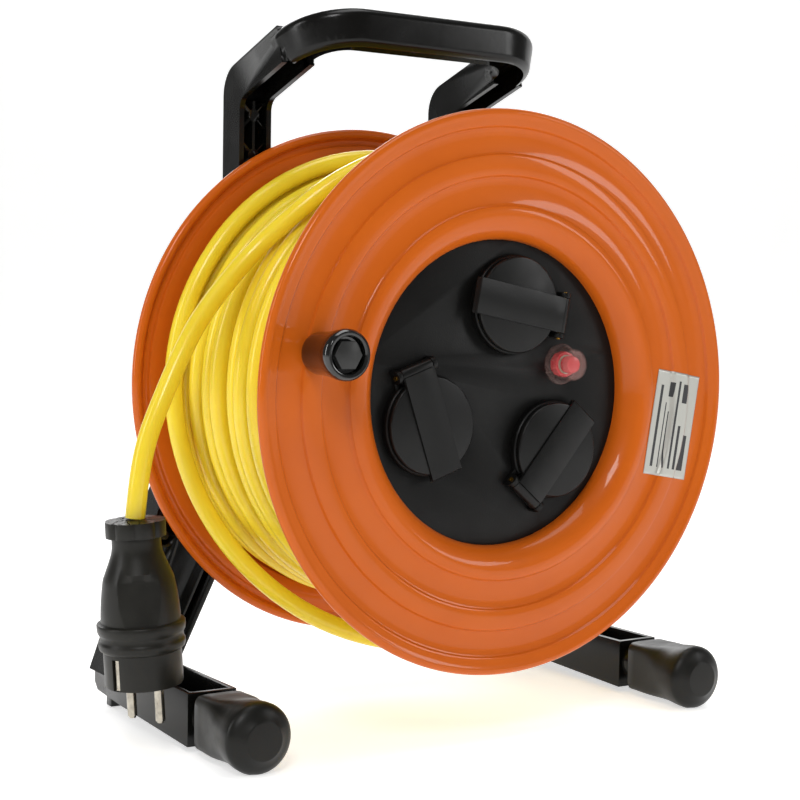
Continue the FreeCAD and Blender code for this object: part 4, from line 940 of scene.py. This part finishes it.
@dataclass
class Plug:
    """Rubber plug with a notched gland nut, a flared body, a finger collar and two round pins."""

    top: Point = (-178.5, -9.0, -61.5)
    lean: float = -4.0
    turn: float = -67.8
    facets: tuple[float, float] = (-46.0, 134.0)

    @property
    def place(self) -> Matrix:
        """Drawing frame that hangs down from the cord's end."""
        x, y, z = self.top
        spot = Matrix.Translation((x * MM, y * MM, (z + AXLE_HIGH) * MM))
        lean = Matrix.Rotation(math.radians(self.lean), 4, "Y")
        tilt = lean @ Matrix.Rotation(math.radians(self.turn), 4, "Z")
        return spot @ tilt @ Matrix.Scale(MM, 4)

    def build(self, frame: dict) -> list[bpy.types.Object]:
        """Make the plug's pieces.


        Returns:
            The pieces.
        """
        nut = settle(self.build_nut(), "frame", "plug_rubber", "plug_gland_nut")
        body = settle(self.build_body(), "frame", "plug_rubber", "plug_body")
        for node, slot, finish in (("plug_face", "plug_face", PALE_PLASTIC), ("plug_pins", "nickel", NICKEL),
                                   ("plug_earth_strips", "nickel", NICKEL)):
            dressed(frame, node, finish)
        return [nut, body, frame["nodes"]["plug_face"], frame["nodes"]["plug_pins"],
                frame["nodes"]["plug_earth_strips"]]

    def build_nut(self) -> bpy.types.Object:
        """Make the gland nut: a toothed ring over a plain skirt."""
        shape = bmesh.new()
        teeth = 8
        outline = []
        for step in range(teeth * 8):
            reach = 14.95 if step % 8 in (1, 2, 3, 4, 5) else (14.6 if step % 8 in (0, 6) else 13.7)
            angle = math.tau * (step + 0.5) / (teeth * 8)
            outline.append((reach * math.cos(angle), reach * math.sin(angle)))
        slab(shape, outline, Axis.Z, -8.7, -0.9)
        lid = [face for face in shape.faces if face.calc_center_median().z > -1.0]
        bmesh.ops.inset_region(shape, faces=lid, thickness=1.2, depth=0.2)
        bmesh.ops.inset_region(shape, faces=lid, thickness=7.8, depth=-0.9)
        bmesh.ops.recalc_face_normals(shape, faces=shape.faces)
        soft_edges(shape, sharp_edges(shape, 60), 0.25, 2)
        return finish_piece(shape, "gland_nut", self.place, PLUG_RUBBER)

    def build_body(self) -> bpy.types.Object:
        """Make the rubber body with its two flat thumb faces and its earth slots."""
        profile = [(0.0, -9.0), (12.1, -9.0, 0.3), (12.05, -11.0), (12.1, -14.0), (12.6, -16.8),
                   (13.5, -19.4), (14.6, -22.4), (15.9, -25.6), (17.1, -28.6), (17.45, -29.8),
                   (17.7, -31.2), (18.3, -35.0), (18.8, -39.0), (19.2, -43.0), (19.5, -47.0),
                   (19.6, -50.4), (20.4, -50.8), (21.4, -51.0), (21.75, -51.5), (21.7, -53.6),
                   (21.45, -55.4), (21.0, -56.3), (20.6, -56.9), (20.55, -57.6), (20.6, -59.0),
                   (20.9, -59.8), (21.3, -60.4), (21.35, -61.2), (21.25, -62.6), (20.9, -63.8),
                   (20.0, -64.6), (19.35, -65.1), (19.25, -66.0), (19.25, -81.6), (18.9, -82.3),
                   (18.2, -82.5), (17.4, -82.3), (17.3, -81.8), (17.3, -77.7), (0.0, -77.7)]
        shape = bmesh.new()
        spin_outline(shape, profile, Axis.Z, 144, closed=False)
        for turn in self.facets:
            self.flatten(shape, turn)
        for side in (-1, 1):
            self.slot(shape, side)
        return finish_piece(shape, "plug_shell", self.place, PLUG_RUBBER, 38)

    @staticmethod
    def flatten(shape: bmesh.types.BMesh, turn: float) -> None:
        """Cut one flat triangular thumb face into the flared body."""
        out = Vector((math.cos(math.radians(turn)), math.sin(math.radians(turn)), 0))
        tilt = Vector((out.x, out.y, 0.19)).normalized()
        foot = out * 18.1 + Vector((0, 0, -50.2))
        rows = [face for face in shape.faces if -50.5 < face.calc_center_median().z < -28.0
                and face.calc_center_median().dot(out) > 8]
        geometry = list({item for face in rows for item in (face, *face.edges, *face.verts)})
        bmesh.ops.bisect_plane(shape, geom=geometry, dist=1e-4, plane_co=foot, plane_no=tilt)
        for vert in shape.verts:
            if -50.45 < vert.co.z < -28.0:
                over = (vert.co - foot).dot(tilt)
                if over > 0:
                    vert.co -= out * (over / tilt.dot(out))

    @staticmethod
    def slot(shape: bmesh.types.BMesh, side: int) -> None:
        """Press an earth strip's slot into the end of the body."""
        for edge in (-2.2, 2.2):
            rows = [face for face in shape.faces if face.calc_center_median().z < -65.5
                    and side * face.calc_center_median().y > 14.0]
            geometry = list({item for face in rows for item in (face, *face.edges, *face.verts)})
            bmesh.ops.bisect_plane(shape, geom=geometry, dist=1e-4, plane_co=(edge, 0, 0),
                                   plane_no=(1, 0, 0))
        rows = [face for face in shape.faces if face.calc_center_median().z < -65.5
                and side * face.calc_center_median().y > 14.0 and abs(face.calc_center_median().x) < 2.2]
        geometry = list({item for face in rows for item in (face, *face.edges, *face.verts)})
        bmesh.ops.bisect_plane(shape, geom=geometry, dist=1e-4, plane_co=(0, 0, -66.8), plane_no=(0, 0, 1))
        rows = [face for face in shape.faces if face.calc_center_median().z < -66.8
                and side * face.calc_center_median().y > 17.9 and abs(face.calc_center_median().x) < 2.2]
        bmesh.ops.inset_region(shape, faces=rows, thickness=0.12, depth=0.0)
        for vert in {vert for face in rows for vert in face.verts}:
            vert.co.y = side * min(abs(vert.co.y), 17.05)


# ---------------------------------------------------------------- studio


@dataclass
class Studio:
    """Plain pale floor that curves up behind the object, soft lights and the camera."""

    spot: Point = (-0.5181, -0.7745, 0.2268)
    right: Point = (0.8413, -0.5401, 0.0168)
    up: Point = (0.01732, 0.05808, 0.99796)
    back: Point = (-0.5401, -0.8395, 0.05823)
    lens: float = 76.6

    def build(self) -> None:
        """Set up the floor, the lights and the camera."""
        self.add_floor()
        self.add_world()
        self.add_light("key", (-1.0, -1.25, 1.35), (0.5, 0.5), 10.5)
        self.add_light("top", (0.1, -0.2, 2.0), (1.4, 0.8), 11.0)
        self.add_light("side", (1.3, -1.3, 0.8), (0.3, 0.9), 5.5)
        self.add_light("left", (-1.7, 0.3, 0.7), (0.3, 1.1), 7.0)
        self.add_light("rear", (0.8, 1.7, 1.3), (1.4, 0.9), 16.0)
        bpy.context.scene.view_settings.view_transform = "Standard"
        self.add_camera()

    def add_floor(self) -> None:
        """Lay the floor and its sweep."""
        shape = bmesh.new()
        away = -Vector((self.back[0], self.back[1], 0)).normalized()
        across = Vector((-away.y, away.x, 0))
        run = [(-4.0, 0.0), (2.2, 0.0)]
        run += [(2.2 + 1.6 * math.sin(math.radians(turn)), 1.6 - 1.6 * math.cos(math.radians(turn)))
                for turn in range(10, 91, 10)]
        run += [(3.8, 5.0)]
        spots = [shape.verts.new(away * ahead - across * 5 + Vector((0, 0, high - 0.0005)))
                 for ahead, high in run]
        edges = [shape.edges.new(pair) for pair in zip(spots, spots[1:])]
        grown = bmesh.ops.extrude_edge_only(shape, edges=edges)["geom"]
        moved = [item for item in grown if isinstance(item, bmesh.types.BMVert)]
        bmesh.ops.translate(shape, vec=across * 10, verts=moved)
        bmesh.ops.recalc_face_normals(shape, faces=shape.faces)
        mesh = bpy.data.meshes.new("studio_floor")
        shape.to_mesh(mesh)
        shape.free()
        mesh.shade_smooth()
        paint = bpy.data.materials.new("matt_white_paper")
        paint.use_nodes = True
        shader = paint.node_tree.nodes["Principled BSDF"]
        shader.inputs["Base Color"].default_value = linear("#F7F7F6")
        shader.inputs["Roughness"].default_value = 0.9
        shader.inputs["Emission Color"].default_value = linear("#FFFFFF")
        shader.inputs["Emission Strength"].default_value = 0.58
        mesh.materials.append(paint)
        floor = bpy.data.objects.new("studio_floor", mesh)
        bpy.context.scene.collection.objects.link(floor)

    def add_world(self) -> None:
        """Fill the surroundings with even white light."""
        world = bpy.data.worlds.new("studio")
        world.use_nodes = True
        sky = world.node_tree.nodes["Background"]
        sky.inputs["Color"].default_value = linear("#FFFFFF")
        sky.inputs["Strength"].default_value = 0.16
        bpy.context.scene.world = world

    def add_light(self, name: str, spot: Point, size: tuple[float, float], power: float) -> None:
        """Hang one soft rectangular light, aimed at the drum."""
        light = bpy.data.lights.new(name, "AREA")
        light.shape = "RECTANGLE"
        light.size, light.size_y = size
        light.energy = power
        lamp = bpy.data.objects.new(name, light)
        lamp.location = spot
        lamp.rotation_euler = (Vector((0, 0, 0.18)) - Vector(spot)).to_track_quat("-Z", "Y").to_euler()
        bpy.context.scene.collection.objects.link(lamp)

    def add_camera(self) -> None:
        """Set up the camera."""
        view = bpy.data.cameras.new("camera")
        view.lens = self.lens
        view.sensor_width = 36
        view.clip_start = 0.01
        camera = bpy.data.objects.new("camera", view)
        turn = Matrix((self.right, self.up, self.back)).transposed()
        camera.matrix_world = Matrix.Translation(self.spot) @ turn.to_4x4()
        bpy.context.scene.collection.objects.link(camera)
        bpy.context.scene.camera = camera


def main() -> None:
    """Build the reel piece by piece, then the studio."""
    logging.basicConfig(level=logging.INFO, format="%(name)s: %(message)s")
    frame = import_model()
    Drum(frame).build()
    Panel(frame).build()
    Knob().build()
    Frame(frame).build()
    Winding().build()
    Lead().build(Plug().build(frame))
    Studio().build()


if __name__ == "__main__":
    main()
